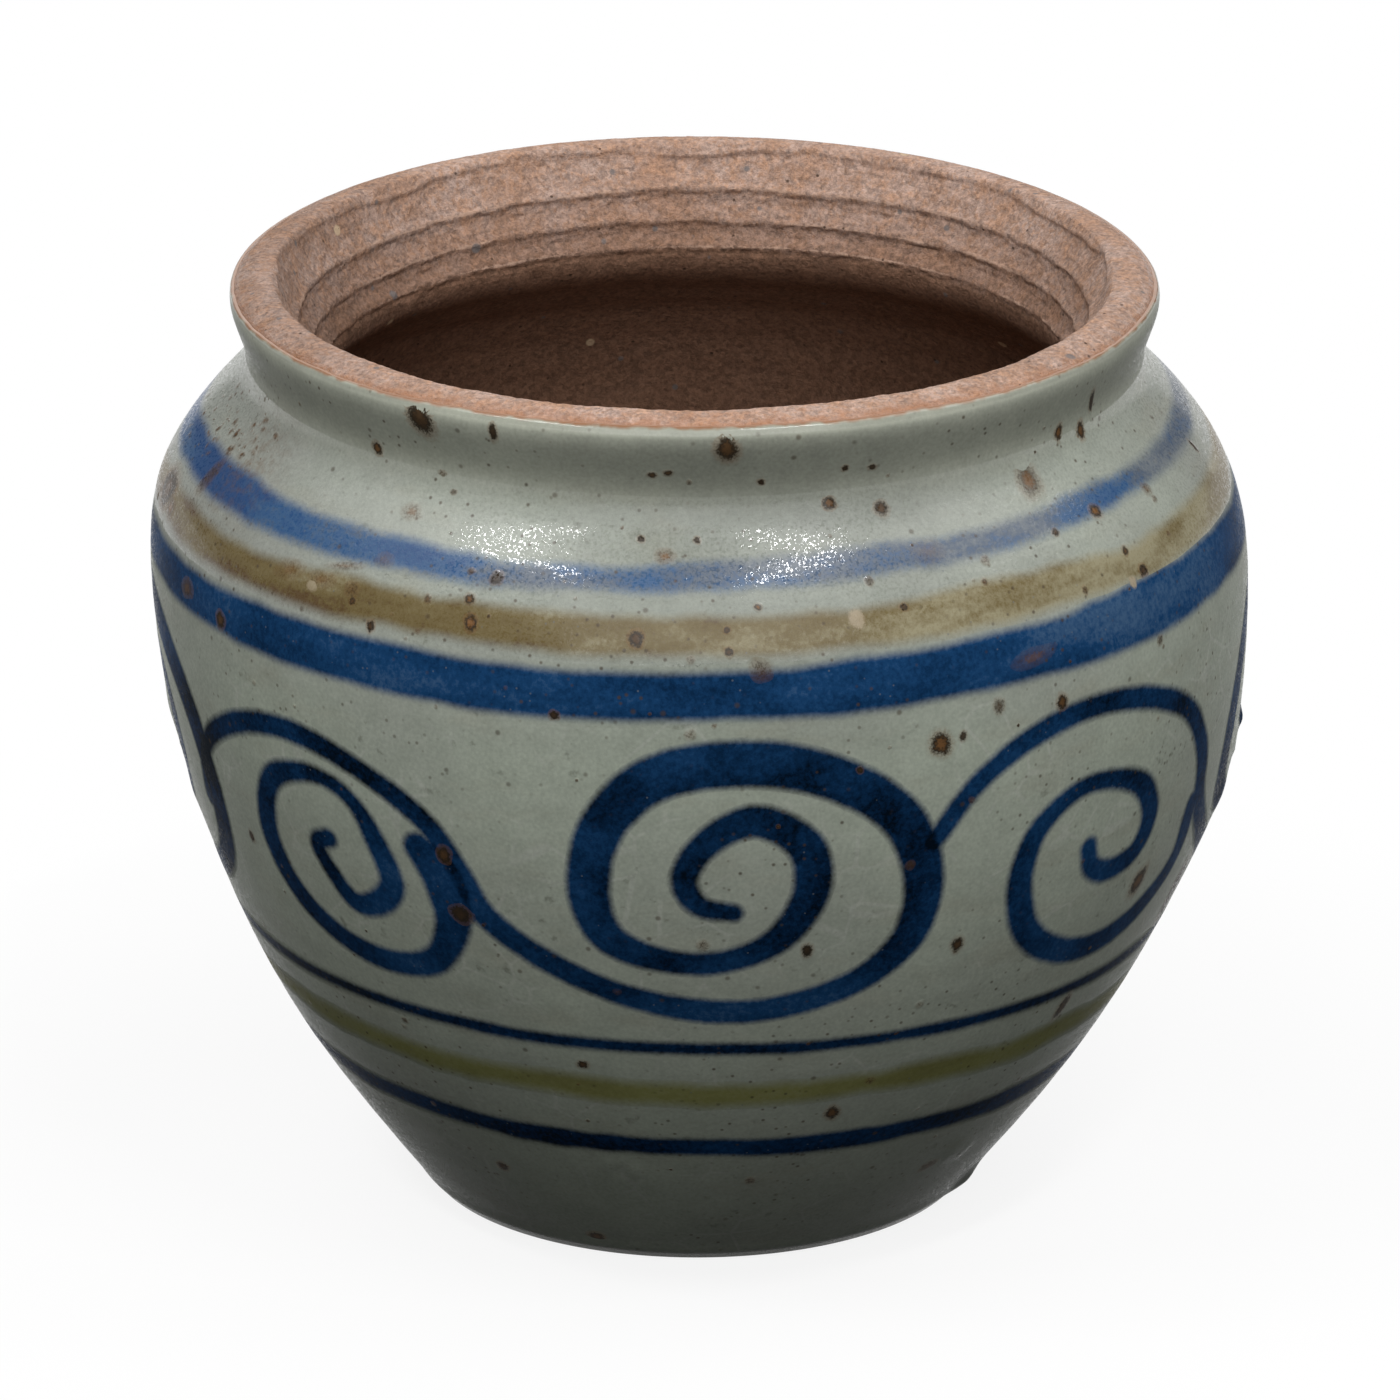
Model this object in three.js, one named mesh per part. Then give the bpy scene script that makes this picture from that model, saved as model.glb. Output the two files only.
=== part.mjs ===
// A wheel-thrown stoneware jar in millimetres, +Z up, with its origin at the centre of the foot.
// The clay body carries a thin glaze coat, and the brushwork lies on the glaze:
// three bands on the shoulder, a frieze of running spirals on the belly and three bands below it.
// Azimuth 0 is the front, towards -Y, and azimuth grows towards +X.
import * as THREE from "three";

const { lerp, smoothstep } = THREE.MathUtils;

// Outer form
const jarHeight = 130; // foot to the crest of the lip
const footRadius = 37;
const bellyRadius = 75; // the widest point
const bellyHeight = 89; // height of the widest point
const bellyFullness = 20; // how far the upright belly carries into the shoulder
const lipRadius = 63; // outer edge of the lip
const lipEdgeDrop = 2.7; // outer edge below the crest
const lipSlopeWidth = 5; // outer edge in to the crest
const lipRound = 1.6; // height of the rounding above the outer edge
const neckInset = 2.2; // outer edge of the lip in to the waist of the neck
const neckDrop = 11; // waist below the crest
const neckSweep = 5.7; // how far the upright waist carries into the shoulder
const lipSweep = 2.6; // the same between the waist and the lip

// Clay wall, floor and foot ring
const wallThickness = 7;
const floorThickness = 9;
const floorCornerInset = 5; // foot edge in to where the floor turns up
const footRingWidth = 7;
const footRecessDepth = 2.5;
const footBevel = 1;

// Throat: three ledges left by the thrower's fingers, inwards from the lip edge and down from the crest
const upperLedgeInset = 9.1;
const upperLedgeDrop = 5.8;
const middleLedgeInset = 10.7;
const middleLedgeDrop = 10;
const lowerLedgeInset = 12;
const lowerLedgeDrop = 13.3;
const ledgeUndercut = 0.5; // each ledge overhangs the wall below it

// Glaze coat
const glazeThickness = 0.6;
const glazeFootMargin = 1.5; // bare clay above the foot
const layerGap = 0.3; // clearance between one fired layer and the next

// Bands: heights, and the spaces between them, from the waist down and from the foot up
const paintThickness = 0.3;
const waistToBlueGap = 7.6;
const blueBandHeight = 2.8;
const blueToOliveGap = 3.2;
const oliveBandHeight = 4;
const oliveToCobaltGap = 2.9;
const cobaltBandHeight = 5.4;
const footToBandGap = 22.1;
const footBandHeight = 3;
const footBandToWashGap = 7.1;
const washHeight = 3.5;
const washToLineGap = 5.3;
const lineHeight = 1.8;

// Frieze of running spirals
const friezeRepeats = 4;
const friezeTurn = -66; // azimuth where the first panel starts, in degrees
const friezeTopMargin = 4.4; // cobalt band to the spirals
const friezeBottomMargin = 3.6; // thin line to the waves
const waveWidth = 3.2; // brush width on the wave
const ringWidth = 5.5; // brush width round the large spiral
const curlWidth = 3.6; // brush width on the small spiral
const tipWidth = 2.6; // brush width where a stroke ends
const strokeGap = 0.6; // clear glaze where two strokes come close

// Facets
const turnSegments = 48;
const bodySteps = 8;
const shoulderSteps = 9;
const neckSteps = 4;
const liningSteps = 7;
const surfaceSamples = 160;
const waveSteps = 84;
const curlSteps = 40;
const stepsPerQuarter = 3;

const waistRadius = lipRadius - neckInset;
const waistHeight = jarHeight - neckDrop;
const lipEdgeHeight = jarHeight - lipEdgeDrop;
const crestRadius = lipRadius - lipSlopeWidth;

// Outer form as three curves that meet upright: foot to belly, belly to waist, waist to lip edge
const point = (radius, height) => new THREE.Vector2(radius, height);
const bodyCurve = new THREE.QuadraticBezierCurve(
  point(footRadius, 0),
  point(bellyRadius, bellyHeight / 2),
  point(bellyRadius, bellyHeight),
);
const shoulderCurve = new THREE.CubicBezierCurve(
  point(bellyRadius, bellyHeight),
  point(bellyRadius, bellyHeight + bellyFullness),
  point(waistRadius, waistHeight - neckSweep),
  point(waistRadius, waistHeight),
);
const neckCurve = new THREE.CubicBezierCurve(
  point(waistRadius, waistHeight),
  point(waistRadius, waistHeight + lipSweep),
  point(lipRadius, lipEdgeHeight - lipSweep),
  point(lipRadius, lipEdgeHeight),
);
const formCurves = [bodyCurve, shoulderCurve, neckCurve];
const formSamples = formCurves.flatMap((curve) => curve.getPoints(surfaceSamples));
const facetHeights = [
  ...bodyCurve.getPoints(bodySteps),
  ...shoulderCurve.getPoints(shoulderSteps),
  ...neckCurve.getPoints(neckSteps),
].map((sample) => sample.y);

// Radius and outward normal of the glazed surface at a height
function surfaceAt(height) {
  const found = formSamples.findIndex(({ y }, i) => i > 0 && y >= height && y > formSamples[i - 1].y);
  const next = found < 0 ? formSamples.length - 1 : found;
  const above = formSamples[next];
  const below = formSamples[next - 1];
  const along = point(above.x - below.x, above.y - below.y);
  const share = (height - below.y) / along.y;
  const normal = point(along.y, -along.x).normalize();
  return { radius: below.x + share * along.x, normal };
}

// A point that stands off the glazed surface by a distance along its normal
function standOff(height, distance) {
  const { radius, normal } = surfaceAt(height);
  return point(radius + normal.x * distance, height + normal.y * distance);
}

// Heights of the facets between two heights, with both ends
function heightsBetween(low, high) {
  const inside = facetHeights.filter((height) => height > low + layerGap && height < high - layerGap);
  return [low, ...new Set(inside), high];
}

// Profile of a layer on the glazed surface, from one stand-off to another, closed on itself
function layerProfile(low, high, inner, outer) {
  const heights = heightsBetween(low, high);
  const outside = heights.map((height) => standOff(height, outer));
  const inside = heights.map((height) => standOff(height, inner)).reverse();
  return [...outside, ...inside, outside[0]];
}

// A profile of radius and height turned about +Z
function turned(profile) {
  return new THREE.LatheGeometry(profile, turnSegments).rotateX(Math.PI / 2);
}

// Clay body: foot ring, outer wall with its seat for the glaze, lip, throat ledges, lining and floor
function clayProfile() {
  const ringInner = footRadius - footRingWidth;
  const seatDepth = -(glazeThickness + layerGap);
  const seat = heightsBetween(glazeFootMargin, lipEdgeHeight).map((height) => standOff(height, seatDepth));
  const lipTop = new THREE.CubicBezierCurve(
    point(lipRadius, lipEdgeHeight),
    point(lipRadius, lipEdgeHeight + lipRound),
    point(crestRadius + lipSlopeWidth / 2, jarHeight),
    point(crestRadius, jarHeight),
  );
  const ledges = [
    [upperLedgeInset, upperLedgeDrop],
    [middleLedgeInset, middleLedgeDrop],
    [lowerLedgeInset, lowerLedgeDrop],
  ].flatMap(([inset, drop]) => [
    point(lipRadius - inset, jarHeight - drop),
    point(lipRadius - inset + ledgeUndercut, jarHeight - drop - ledgeUndercut),
  ]);
  const throat = ledges[ledges.length - 1];
  const liningRadius = bellyRadius - wallThickness;
  const upperLining = new THREE.CubicBezierCurve(
    throat,
    point(throat.x + wallThickness, throat.y - wallThickness),
    point(liningRadius, bellyHeight + bellyFullness / 2),
    point(liningRadius, bellyHeight),
  );
  const lowerLining = new THREE.QuadraticBezierCurve(
    point(liningRadius, bellyHeight),
    point(liningRadius, (bellyHeight + floorThickness) / 2),
    point(footRadius - floorCornerInset, floorThickness),
  );
  return [
    point(0, footRecessDepth),
    point(ringInner - footRecessDepth, footRecessDepth),
    point(ringInner, 0),
    point(footRadius - footBevel, 0),
    standOff(glazeFootMargin, 0),
    ...seat,
    ...lipTop.getPoints(neckSteps),
    ...ledges,
    ...upperLining.getPoints(liningSteps).slice(1),
    ...lowerLining.getPoints(liningSteps).slice(1),
    point(0, floorThickness),
  ];
}

// Band edges, stacked down from the waist and up from the foot
const blueTop = waistHeight - waistToBlueGap;
const oliveTop = blueTop - blueBandHeight - blueToOliveGap;
const cobaltTop = oliveTop - oliveBandHeight - oliveToCobaltGap;
const cobaltFoot = cobaltTop - cobaltBandHeight;
const washFoot = footToBandGap + footBandHeight + footBandToWashGap;
const lineFoot = washFoot + washHeight + washToLineGap;
const lineTop = lineFoot + lineHeight;

// Frieze panel: u runs across it and v up it, between the strokes' lowest and highest centre lines
const friezeBottom = lineTop + friezeBottomMargin + waveWidth / 2;
const friezeHeight = cobaltFoot - friezeTopMargin - ringWidth / 2 - friezeBottom;
const friezeRadius = surfaceAt(friezeBottom + friezeHeight / 2).radius;
const panelWidth = (2 * Math.PI * friezeRadius) / friezeRepeats;
const acrossPanel = (distance) => distance / panelWidth;

// Large spiral: its centre, and how far it reaches at each quarter turn from straight below, anticlockwise
const ringCentre = point(0.783, 0.512);
const ringReach = [0.512, 0.211, 0.488, 0.194, 0.3, 0.075, 0.27, 0.078, 0.09];

// Small spiral: the same, from the right-hand side and clockwise
const curlCentreHeight = 0.438;
const curlReach = [0.15, 0.38, 0.133, 0.31, 0.069, 0.165, 0.039, 0.075];

// Wave from its start beside the large spiral before it, over the small spiral and down to its own large one
const waveStart = ringCentre.x + ringReach[1] - 1 + acrossPanel(ringWidth / 2 + waveWidth + strokeGap);
const waveFlank = point(0.45, 0.42);
const wavePoints = [
  point(waveStart, 0.72),
  point(0.11, 0.875),
  point(0.222, 0.934),
  point(0.333, 0.82),
  point(0.407, 0.63),
  waveFlank,
  point(0.525, 0.205),
  point(0.64, 0.055),
];
const curlCentre = point(
  waveFlank.x - curlReach[0] - acrossPanel((waveWidth + curlWidth) / 2 + strokeGap),
  curlCentreHeight,
);

// A spiral from its reach at each quarter turn: sense is 1 anticlockwise and -1 clockwise
function spiralPoints(centre, reach, startQuarter, sense) {
  const points = [];
  for (let i = 0; i < (reach.length - 1) * stepsPerQuarter + 1; i += 1) {
    const quarter = i / stepsPerQuarter;
    const from = Math.min(Math.floor(quarter), reach.length - 2);
    const share = quarter - from;
    const angle = (startQuarter + sense * quarter) * (Math.PI / 2);
    // Across and up have their own scale, so a reach is carried to the other axis by the panel's shape
    const upright = (index) => (startQuarter + sense * index) % 2 !== 0;
    const inHeight = (index) => reach[index] * (upright(index) ? 1 : panelWidth / friezeHeight);
    const radius = lerp(inHeight(from), inHeight(from + 1), smoothstep(share, 0, 1));
    points.push(
      point(
        centre.x + (radius * Math.cos(angle) * friezeHeight) / panelWidth,
        centre.y + radius * Math.sin(angle),
      ),
    );
  }
  return points;
}

// Brush width along each kind of stroke: where it swells and where it thins, as shares of its length
const waveSwell = { from: 0.3, to: 0.55 };
const waveThin = { from: 0.6, to: 1 };
const curlThin = { from: 0.4, to: 1 };
function waveBrush(share) {
  const swollen = lerp(waveWidth, ringWidth, smoothstep(share, waveSwell.from, waveSwell.to));
  return lerp(swollen, tipWidth, smoothstep(share, waveThin.from, waveThin.to));
}
function curlBrush(share) {
  return lerp(curlWidth, tipWidth, smoothstep(share, curlThin.from, curlThin.to));
}

// A point of the developed frieze, in millimetres along and up, wrapped on to the glaze with a stand-off
function wrapped(along, height, distance) {
  const azimuth = along / friezeRadius;
  const place = standOff(height, distance);
  return new THREE.Vector3(place.x * Math.sin(azimuth), -place.x * Math.cos(azimuth), place.y);
}

// A brush stroke: a ribbon of rectangular section that follows the glaze along a smooth path
function strokeGeometry(panelPoints, panel, brush, steps) {
  const start = THREE.MathUtils.degToRad(friezeTurn) * friezeRadius + panel * panelWidth;
  const path = new THREE.CatmullRomCurve3(
    panelPoints.map(
      ({ x, y }) => new THREE.Vector3(start + x * panelWidth, friezeBottom + y * friezeHeight, 0),
    ),
    false,
    "centripetal",
  );
  const corners = [];
  for (let i = 0; i <= steps; i += 1) {
    const share = i / steps;
    const centre = path.getPointAt(share);
    const heading = path.getTangentAt(share);
    const half = brush(share) / 2;
    const left = [centre.x - heading.y * half, centre.y + heading.x * half];
    const right = [centre.x + heading.y * half, centre.y - heading.x * half];
    corners.push(
      wrapped(...left, layerGap),
      wrapped(...right, layerGap),
      wrapped(...right, layerGap + paintThickness),
      wrapped(...left, layerGap + paintThickness),
    );
  }
  const sides = 4;
  const faces = [];
  for (let i = 0; i < steps; i += 1) {
    for (let side = 0; side < sides; side += 1) {
      const here = i * sides + side;
      const beside = i * sides + ((side + 1) % sides);
      faces.push(here, here + sides, beside, beside, here + sides, beside + sides);
    }
  }
  const last = steps * sides;
  faces.push(0, 1, 2, 0, 2, 3, last, last + 2, last + 1, last, last + 3, last + 2);
  const geometry = new THREE.BufferGeometry().setFromPoints(corners);
  geometry.setIndex(faces);
  geometry.computeVertexNormals();
  return geometry;
}

// Surface finishes
const clay = { color: 0x9b7059, roughness: 0.95, metalness: 0 };
const glaze = { color: 0xa9aa9c, roughness: 0.22, metalness: 0 };
const paleBlue = { color: 0x4d6288, roughness: 0.25, metalness: 0 };
const cobalt = { color: 0x22396b, roughness: 0.25, metalness: 0 };
const olive = { color: 0x857a58, roughness: 0.3, metalness: 0 };

const jar = new THREE.Group();

function addPiece(name, geometry, finish) {
  const mesh = new THREE.Mesh(geometry, new THREE.MeshStandardMaterial(finish));
  mesh.name = name;
  jar.add(mesh);
}

function addBand(name, low, high, finish) {
  addPiece(name, turned(layerProfile(low, high, layerGap, layerGap + paintThickness)), finish);
}

addPiece("stoneware_body", turned(clayProfile()), clay);
addPiece(
  "glaze_coat",
  turned(layerProfile(glazeFootMargin + layerGap, lipEdgeHeight - layerGap, -glazeThickness, 0)),
  glaze,
);
addBand("shoulder_blue_band", blueTop - blueBandHeight, blueTop, paleBlue);
addBand("shoulder_olive_band", oliveTop - oliveBandHeight, oliveTop, olive);
addBand("shoulder_cobalt_band", cobaltFoot, cobaltTop, cobalt);
addBand("belly_blue_line", lineFoot, lineTop, cobalt);
addBand("belly_olive_wash", washFoot, washFoot + washHeight, olive);
addBand("foot_blue_band", footToBandGap, footToBandGap + footBandHeight, cobalt);

const belowCentre = -1;
const wavePath = [...wavePoints, ...spiralPoints(ringCentre, ringReach, belowCentre, 1)];
const curlPath = spiralPoints(curlCentre, curlReach, 0, -1);
for (let panel = 0; panel < friezeRepeats; panel += 1) {
  addPiece(`wave_stroke_${panel + 1}`, strokeGeometry(wavePath, panel, waveBrush, waveSteps), cobalt);
  addPiece(`curl_stroke_${panel + 1}`, strokeGeometry(curlPath, panel, curlBrush, curlSteps), cobalt);
}

export default jar;
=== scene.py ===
import math

import bpy
import numpy as np
from mathutils import Matrix, Vector


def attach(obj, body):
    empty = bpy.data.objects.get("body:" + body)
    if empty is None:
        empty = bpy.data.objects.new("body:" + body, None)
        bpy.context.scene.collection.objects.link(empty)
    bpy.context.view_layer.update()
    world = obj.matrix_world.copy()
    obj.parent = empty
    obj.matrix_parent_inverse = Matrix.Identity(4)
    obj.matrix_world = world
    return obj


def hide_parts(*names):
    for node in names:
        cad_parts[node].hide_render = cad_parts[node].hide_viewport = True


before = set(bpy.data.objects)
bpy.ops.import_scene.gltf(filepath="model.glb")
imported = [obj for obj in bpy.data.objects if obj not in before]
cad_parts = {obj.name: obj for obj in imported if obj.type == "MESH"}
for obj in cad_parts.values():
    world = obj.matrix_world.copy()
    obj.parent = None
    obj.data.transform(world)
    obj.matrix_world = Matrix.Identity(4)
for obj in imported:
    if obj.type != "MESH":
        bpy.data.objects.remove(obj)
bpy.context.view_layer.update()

# Units
MM = 0.001
DEGREE = math.pi / 180
TURN = 2 * math.pi

# Outer form of the jar: radius and height of the control points, in millimetres
BODY_CURVE = ((37, 0), (75, 44.5), (75, 89))
SHOULDER_CURVE = ((75, 89), (75, 109), (60.8, 113.3), (60.8, 119))
NECK_CURVE = ((60.8, 119), (60.8, 121.6), (63, 124.7), (63, 127.3))
LIP_CURVE = ((63, 127.3), (63, 128.9), (60.5, 130), (58, 130))
CURVE_STEPS = 400
WAIST_STEP = 0.1
WAIST_BLUR = 1.3
WAIST_REACH = 3
WAIST_FADES = ((107, 110), (126.5, 123.5))
TOP_LIMIT = 129.98
SIDE_LIMIT = 75.5
SIDE_SOFTNESS = 0.06
SIDE_SHARE = 0.5
SHARP_ANGLE = 50 * DEGREE

# Throat with its ledges, then the lining and the floor: radius and height, in millimetres
THROAT_LINE = (
    (58, 130), (57.3, 129.75), (56.8, 129.1), (56.3, 128), (55.1, 125.9), (54.3, 124.75), (53.8, 124.2),
    (53.72, 123.85), (53.9, 123.2), (53.65, 122.1), (52.7, 120.65), (52.2, 120.1), (52.15, 119.75),
    (52.33, 119.1), (52.05, 118), (51.4, 117.2), (50.98, 116.7), (50.95, 116.35), (51.12, 115.8),
    (51.05, 115),
)
UPPER_LINING_CURVE = ((51.05, 115), (51.3, 108.5), (68, 107.5), (68, 89))
LOWER_LINING_CURVE = ((68, 89), (68, 47.5), (35.5, 12.6))
FLOOR_TURN_CURVE = ((35.5, 12.6), (32, 8.9), (26, 8.95))
FLOOR_LINE = ((26, 8.95), (20, 8.9), (14, 9.1), (6, 9), (0.4, 9))
THROAT_FINE = 0.06
THROAT_STEP = 0.27
LINING_STEPS = (2, 2.6, 1.3)
FLOOR_STEP = 3.2
# Ledges, with the width and drop of the painted highlight on each and the painted shade below it
LEDGES = (124.05, 119.95, 116.55)
LEDGE_REACH = 0.3
LEDGE_GROOVE = 0.75
LEDGE_TILT = 0.45
# Base strength of the painted light and shade of the ledges
LEDGE_PLAIN = 0.7
LEDGE_TILT_FADES = ((129, 125), (108, 114))
LEDGE_WANDER_FADES = ((129, 125), (100, 114))

# Wear of the throat: skin of slurry inside the lip, grit and throwing rings, in millimetres
SKIN_END = 2.2
SKIN_DEPTH = 0.24
SKIN_FADE = (-0.1, 0.35)
SKIN_PLAIN = 0.75
SKIN_START = (0, 0.9)
GRIT_FINE = 0.08
GRIT_TORN = 0.10
TORN_FADES = ((125, 123.5), (114.5, 116))
GRIT_END = (22, 34)
THROW_RISE = 0.16
THROW_PITCH = 5.8
THROW_SWING = 0.8
THROW_TURN = 0.4
THROW_FADES = ((116, 108), (8.5, 16))

# Foot: radius and height, in millimetres
FOOT_LINE = (
    (0.4, 2.5), (8, 2.5), (16, 2.5), (23, 2.5), (26.8, 2.4), (28.2, 1.9), (29.2, 0.8), (30, 0.15),
    (30.8, 0), (33, 0), (35.2, 0), (36, 0.08), (36.6, 0.25),
)

# Lean and slow unevenness of the thrown wall, in millimetres
LEAN = 1.4
LEAN_WAVE = 104
LEAN_FADE = 260
RING_SWELL = 0.012
RING_PITCH = 5.2
SWELL_FOOT = (0, 12)
SWELL_NECK = (112, 124)
NECK_CALM = 0.6
# Swells: rise, waves round the jar, height for one radian and start
SWELLS = ((0.05, 2, 40, 0.6), (0.03, 3, -31, 2.1))

# Lumps and runs of the glaze: azimuth, height, spread and rise, in degrees and millimetres
LUMPS = (
    (88, 62, 11, 0.95), (-90, 32, 12, 0.7), (-90, 20, 8, 0.65), (-88, 106, 7, 0.75), (88, 127, 9, 0.4),
    (89, 66, 1.1, 0.7), (88, 62, 1, 0.4), (88, 54, 8, 0.4), (66, 3.8, 1.3, 0.75), (83, 58, 2.2, 0.35),
    (86, 64, 1.8, 0.25), (-84, 70, 2.4, 0.28), (-82, 58, 2, 0.24), (-14, 19.3, 0.8, 0.28),
    (-10.5, 18.6, 0.9, 0.25), (-12.4, 18.4, 0.6, -0.3), (45, 15, 1.5, 0.35), (48, 14.4, 0.8, 0.3),
    (150, 30, 2, 0.4), (205, 12, 1.6, 0.5), (232, 40, 2.2, 0.3), (120, 6, 1.4, 0.7), (-98, 9, 1.5, 0.6),
)

# Layers: how deep the clay lies under the glaze and where the glaze starts and ends
SEAT_DEPTH = 0.75
SEAT_LOW = 0.4
SEAT_FULL = 1.2
SEAT_END = (-0.9, 0.05)
LIP_GRIT_RISE = (128.4, 129.6)
LIP_STEP = 0.12
LIP_STEP_FADES = ((126, 128), (129.98, 129.6))
GLAZE_START = 0.3
GLAZE_FULL = 1.6
GLAZE_INSIDE = 0.55
GLAZE_TUCK = 0.45
GLAZE_LINE = 128.8
GLAZE_LINE_SWING = 0.35
GLAZE_LINE_JAG = 0.09
GLAZE_TOP = 129.92
LIP_TUCK = (-0.1, 0.35)
SEAM_HEIGHT = 96
NECK_SEAM = 118.2
EDGE_SEAM = 128

# Beads of slurry inside the lip and of glaze at its upper edge and at the foot: rise, place and width
SKIN_BEAD = (0.16, -0.25, 0.4)
EDGE_ROLL = (0.15, -0.3, 0.34)
FOOT_BEAD = (0.15, 2, 1)

# Mesh steps, then rows of points: first height, last height and count of each run
CLAY_COLUMNS = 480
GLAZE_COLUMNS = 480
BAND_COLUMNS = 720
BAND_STEP = 0.35
BAND_ROWS_LEAST = 8
FRIEZE_COLUMNS = 1152
FRIEZE_STEP = 0.4
FRIEZE_LOW = 43.2
FRIEZE_ROWS = 120
CLAY_ROWS = ((SEAT_LOW, 106, 12), (109, 124.5, 12), (125.2, 128, 6), (128.15, 129.97, 28))
GLAZE_ROWS = ((GLAZE_START, 5, 12), (6, 123, 116), (123.6, 127.6, 11), (127.75, GLAZE_TOP, 24))
GLAZE_BACK_ROWS = ((GLAZE_TOP - 0.3, 110, 19), (100, GLAZE_START + 0.4, 10))

# Corners of a cell of a grid: rows up and columns on from its first corner
CORNER_ROWS = np.array((0, 0, 1, 1))
CORNER_COLUMNS = np.array((0, 1, 1, 0))

# Map of a piece: the front fills it up to the first mark, and the hidden back starts at the second
MAP_FRONT = 0.88
MAP_BACK = 0.9
MAP_GLAZE_END = 0.99
MAP_BAND_END = 0.98

# Brushwork: how far paint stands proud, how far its hidden rim reaches and how deep it is set in
PAINT_RIM = 1.25
BAND_RIM = 1.8
PAINT_SINK = 0.012
PAINT_FULL = 0.2
PAINT_BACK = 0.3
BAND_LIFT = 0.016
WAVE_LIFTS = (0.014, 0.018)
CURL_LIFTS = (0.022, 0.022)
EDGE_LIMIT = 3.0
SLOPE_LEAST = 0.4
BACK_SHARE = 0.9
CROSSED = (-0.2, 0.6)

# Bands: name, node, lower and upper edge, tilt, edge wander and paint
BANDS = (
    ("upper_blue_band", "shoulder_blue_band", 108.6, 111.4, 1.25, 0.42, "pale_blue"),
    ("olive_band", "shoulder_olive_band", 101.4, 105.4, 1.25, 0.45, "olive"),
    ("wide_cobalt_band", "shoulder_cobalt_band", 93.1, 98.5, 1.25, 0.36, "cobalt_band"),
    ("thin_cobalt_line", "belly_blue_line", 41, 42.8, -0.66, 0.18, "cobalt_line"),
    ("olive_wash", "belly_olive_wash", 32.2, 35.7, -0.66, 0.5, "olive_wash"),
    ("low_cobalt_band", "foot_blue_band", 22.1, 25.1, -0.66, 0.3, "cobalt_line"),
)

# How the upper bands change round the jar: azimuth, pigment load, extra half width and drift upwards
PLAIN_MARKS = ((-90, 1, 0, 0), (270, 1, 0, 0))
BAND_MARKS = {
    "upper_blue_band": (
        (-90, 1.9, 0.3, 0), (-72, 2.8, 0.6, 0), (-60, 2.3, 0.5, 0), (-50, 1.6, 0.35, 0),
        (-42, 1.25, 0.3, 0), (-31, 1.7, 0.15, -0.2), (-22, 1.2, 0, -0.4), (-6, 1.5, 0, -0.2),
        (2, 0.8, 0, 0), (17, 0.7, 0.3, 0), (34, 0.5, 0, 0), (43, 1.35, -0.2, 0), (60, 1.3, -0.2, 0),
        (72, 0.7, -0.2, 0), (90, 0.5, 0, 0), (130, 1.3, 0.2, 0.2), (170, 0.8, 0, 0), (215, 1.5, 0.3, -0.2),
        (270, 1.9, 0.3, 0),
    ),
    "olive_band": (
        (-90, 1.6, 0, -0.3), (-60, 1.4, 0, -0.3), (-45, 1.5, 0.2, 0), (-36, 1, 0.4, 0.3),
        (-25, 1.25, 0.3, 0), (-15, 1.05, 0.2, -0.2), (-5, 1.35, 0, -0.4), (5, 0.9, 0, -0.5),
        (15, 1.05, 0, -0.4), (27, 0.5, 0.35, -0.35), (36, -0.15, 0.2, -0.4), (45, -0.3, 0.05, -0.6),
        (56, -0.2, -0.2, -1.3), (68, 0.1, 0, -1.2), (80, 0.5, 0.1, -0.9), (90, 1, 0.2, -0.6),
        (180, 1.1, 0.2, 0.3), (270, 1.6, 0, -0.3),
    ),
    "wide_cobalt_band": (
        (-90, 1.5, 0, 0), (-70, 1.4, 0.1, 0), (-60, 0.95, 0.2, 0), (-48, 0.9, 0.4, 0), (-35, 1.2, 0.55, 0),
        (-25, 1.25, 0.45, 0), (-15, 1.1, 0.4, 0), (0, 1.05, 0.15, 0), (15, 0.85, 0.6, 0),
        (30, 0.8, 0.55, 0), (45, 0.8, 1, 0), (60, 0.85, 0.9, 0), (68, 0.8, 0.8, 0), (78, 1.2, 0.6, 0),
        (90, 1.25, 0.5, 0), (180, 1, 0.4, 0.2), (270, 1.5, 0, 0),
    ),
}
MARKS_START = -90

# Frieze strokes: azimuth in degrees, height and brush width in millimetres
WAVE_FIRST = (
    (-69.5, 63.5, 2.6), (-68, 69, 2.8), (-64, 75, 2.9), (-55, 80.8, 3), (-46.5, 82.2, 3), (-37.5, 79.4, 3),
    (-30.5, 74.2, 3.3), (-27.2, 67.6, 3.6), (-25, 61.7, 3.8), (-20, 56.7, 3.6), (-12, 51.7, 3.6),
    (-3, 48.8, 3.8),
)
WAVE_SECOND = (
    (24, 72.5, 2.8), (29, 80, 2.8), (36, 85.1, 3), (45, 86.6, 3), (55, 83.8, 3), (62, 78.8, 3),
    (66.5, 71.2, 3.4), (69, 63, 3.6), (73, 57.6, 3.6), (79, 52.4, 3.6), (87, 48.9, 3.8),
)
WAVE_RING = (
    (3, 48.2, 3.8), (8, 48.8, 3.8), (17, 52.3, 4), (22, 58, 5), (23.3, 66.2, 5.6), (21, 75.6, 5.8),
    (15, 82.5, 6), (6, 86.3, 6.3), (-5, 84.4, 6.2), (-10.8, 76.9, 5.8), (-12.6, 66.2, 5.5),
    (-10.8, 59.9, 4.8), (-5, 56.7, 3.8), (2, 56.7, 3.5), (8, 60.5, 4.2), (11, 68, 5), (10, 74.3, 4.8),
    (5, 78.1, 4.5), (0, 75, 3.8), (-2.5, 69.3, 3.4), (-1, 65.5, 3), (2.5, 64.3, 2.6),
)
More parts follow.
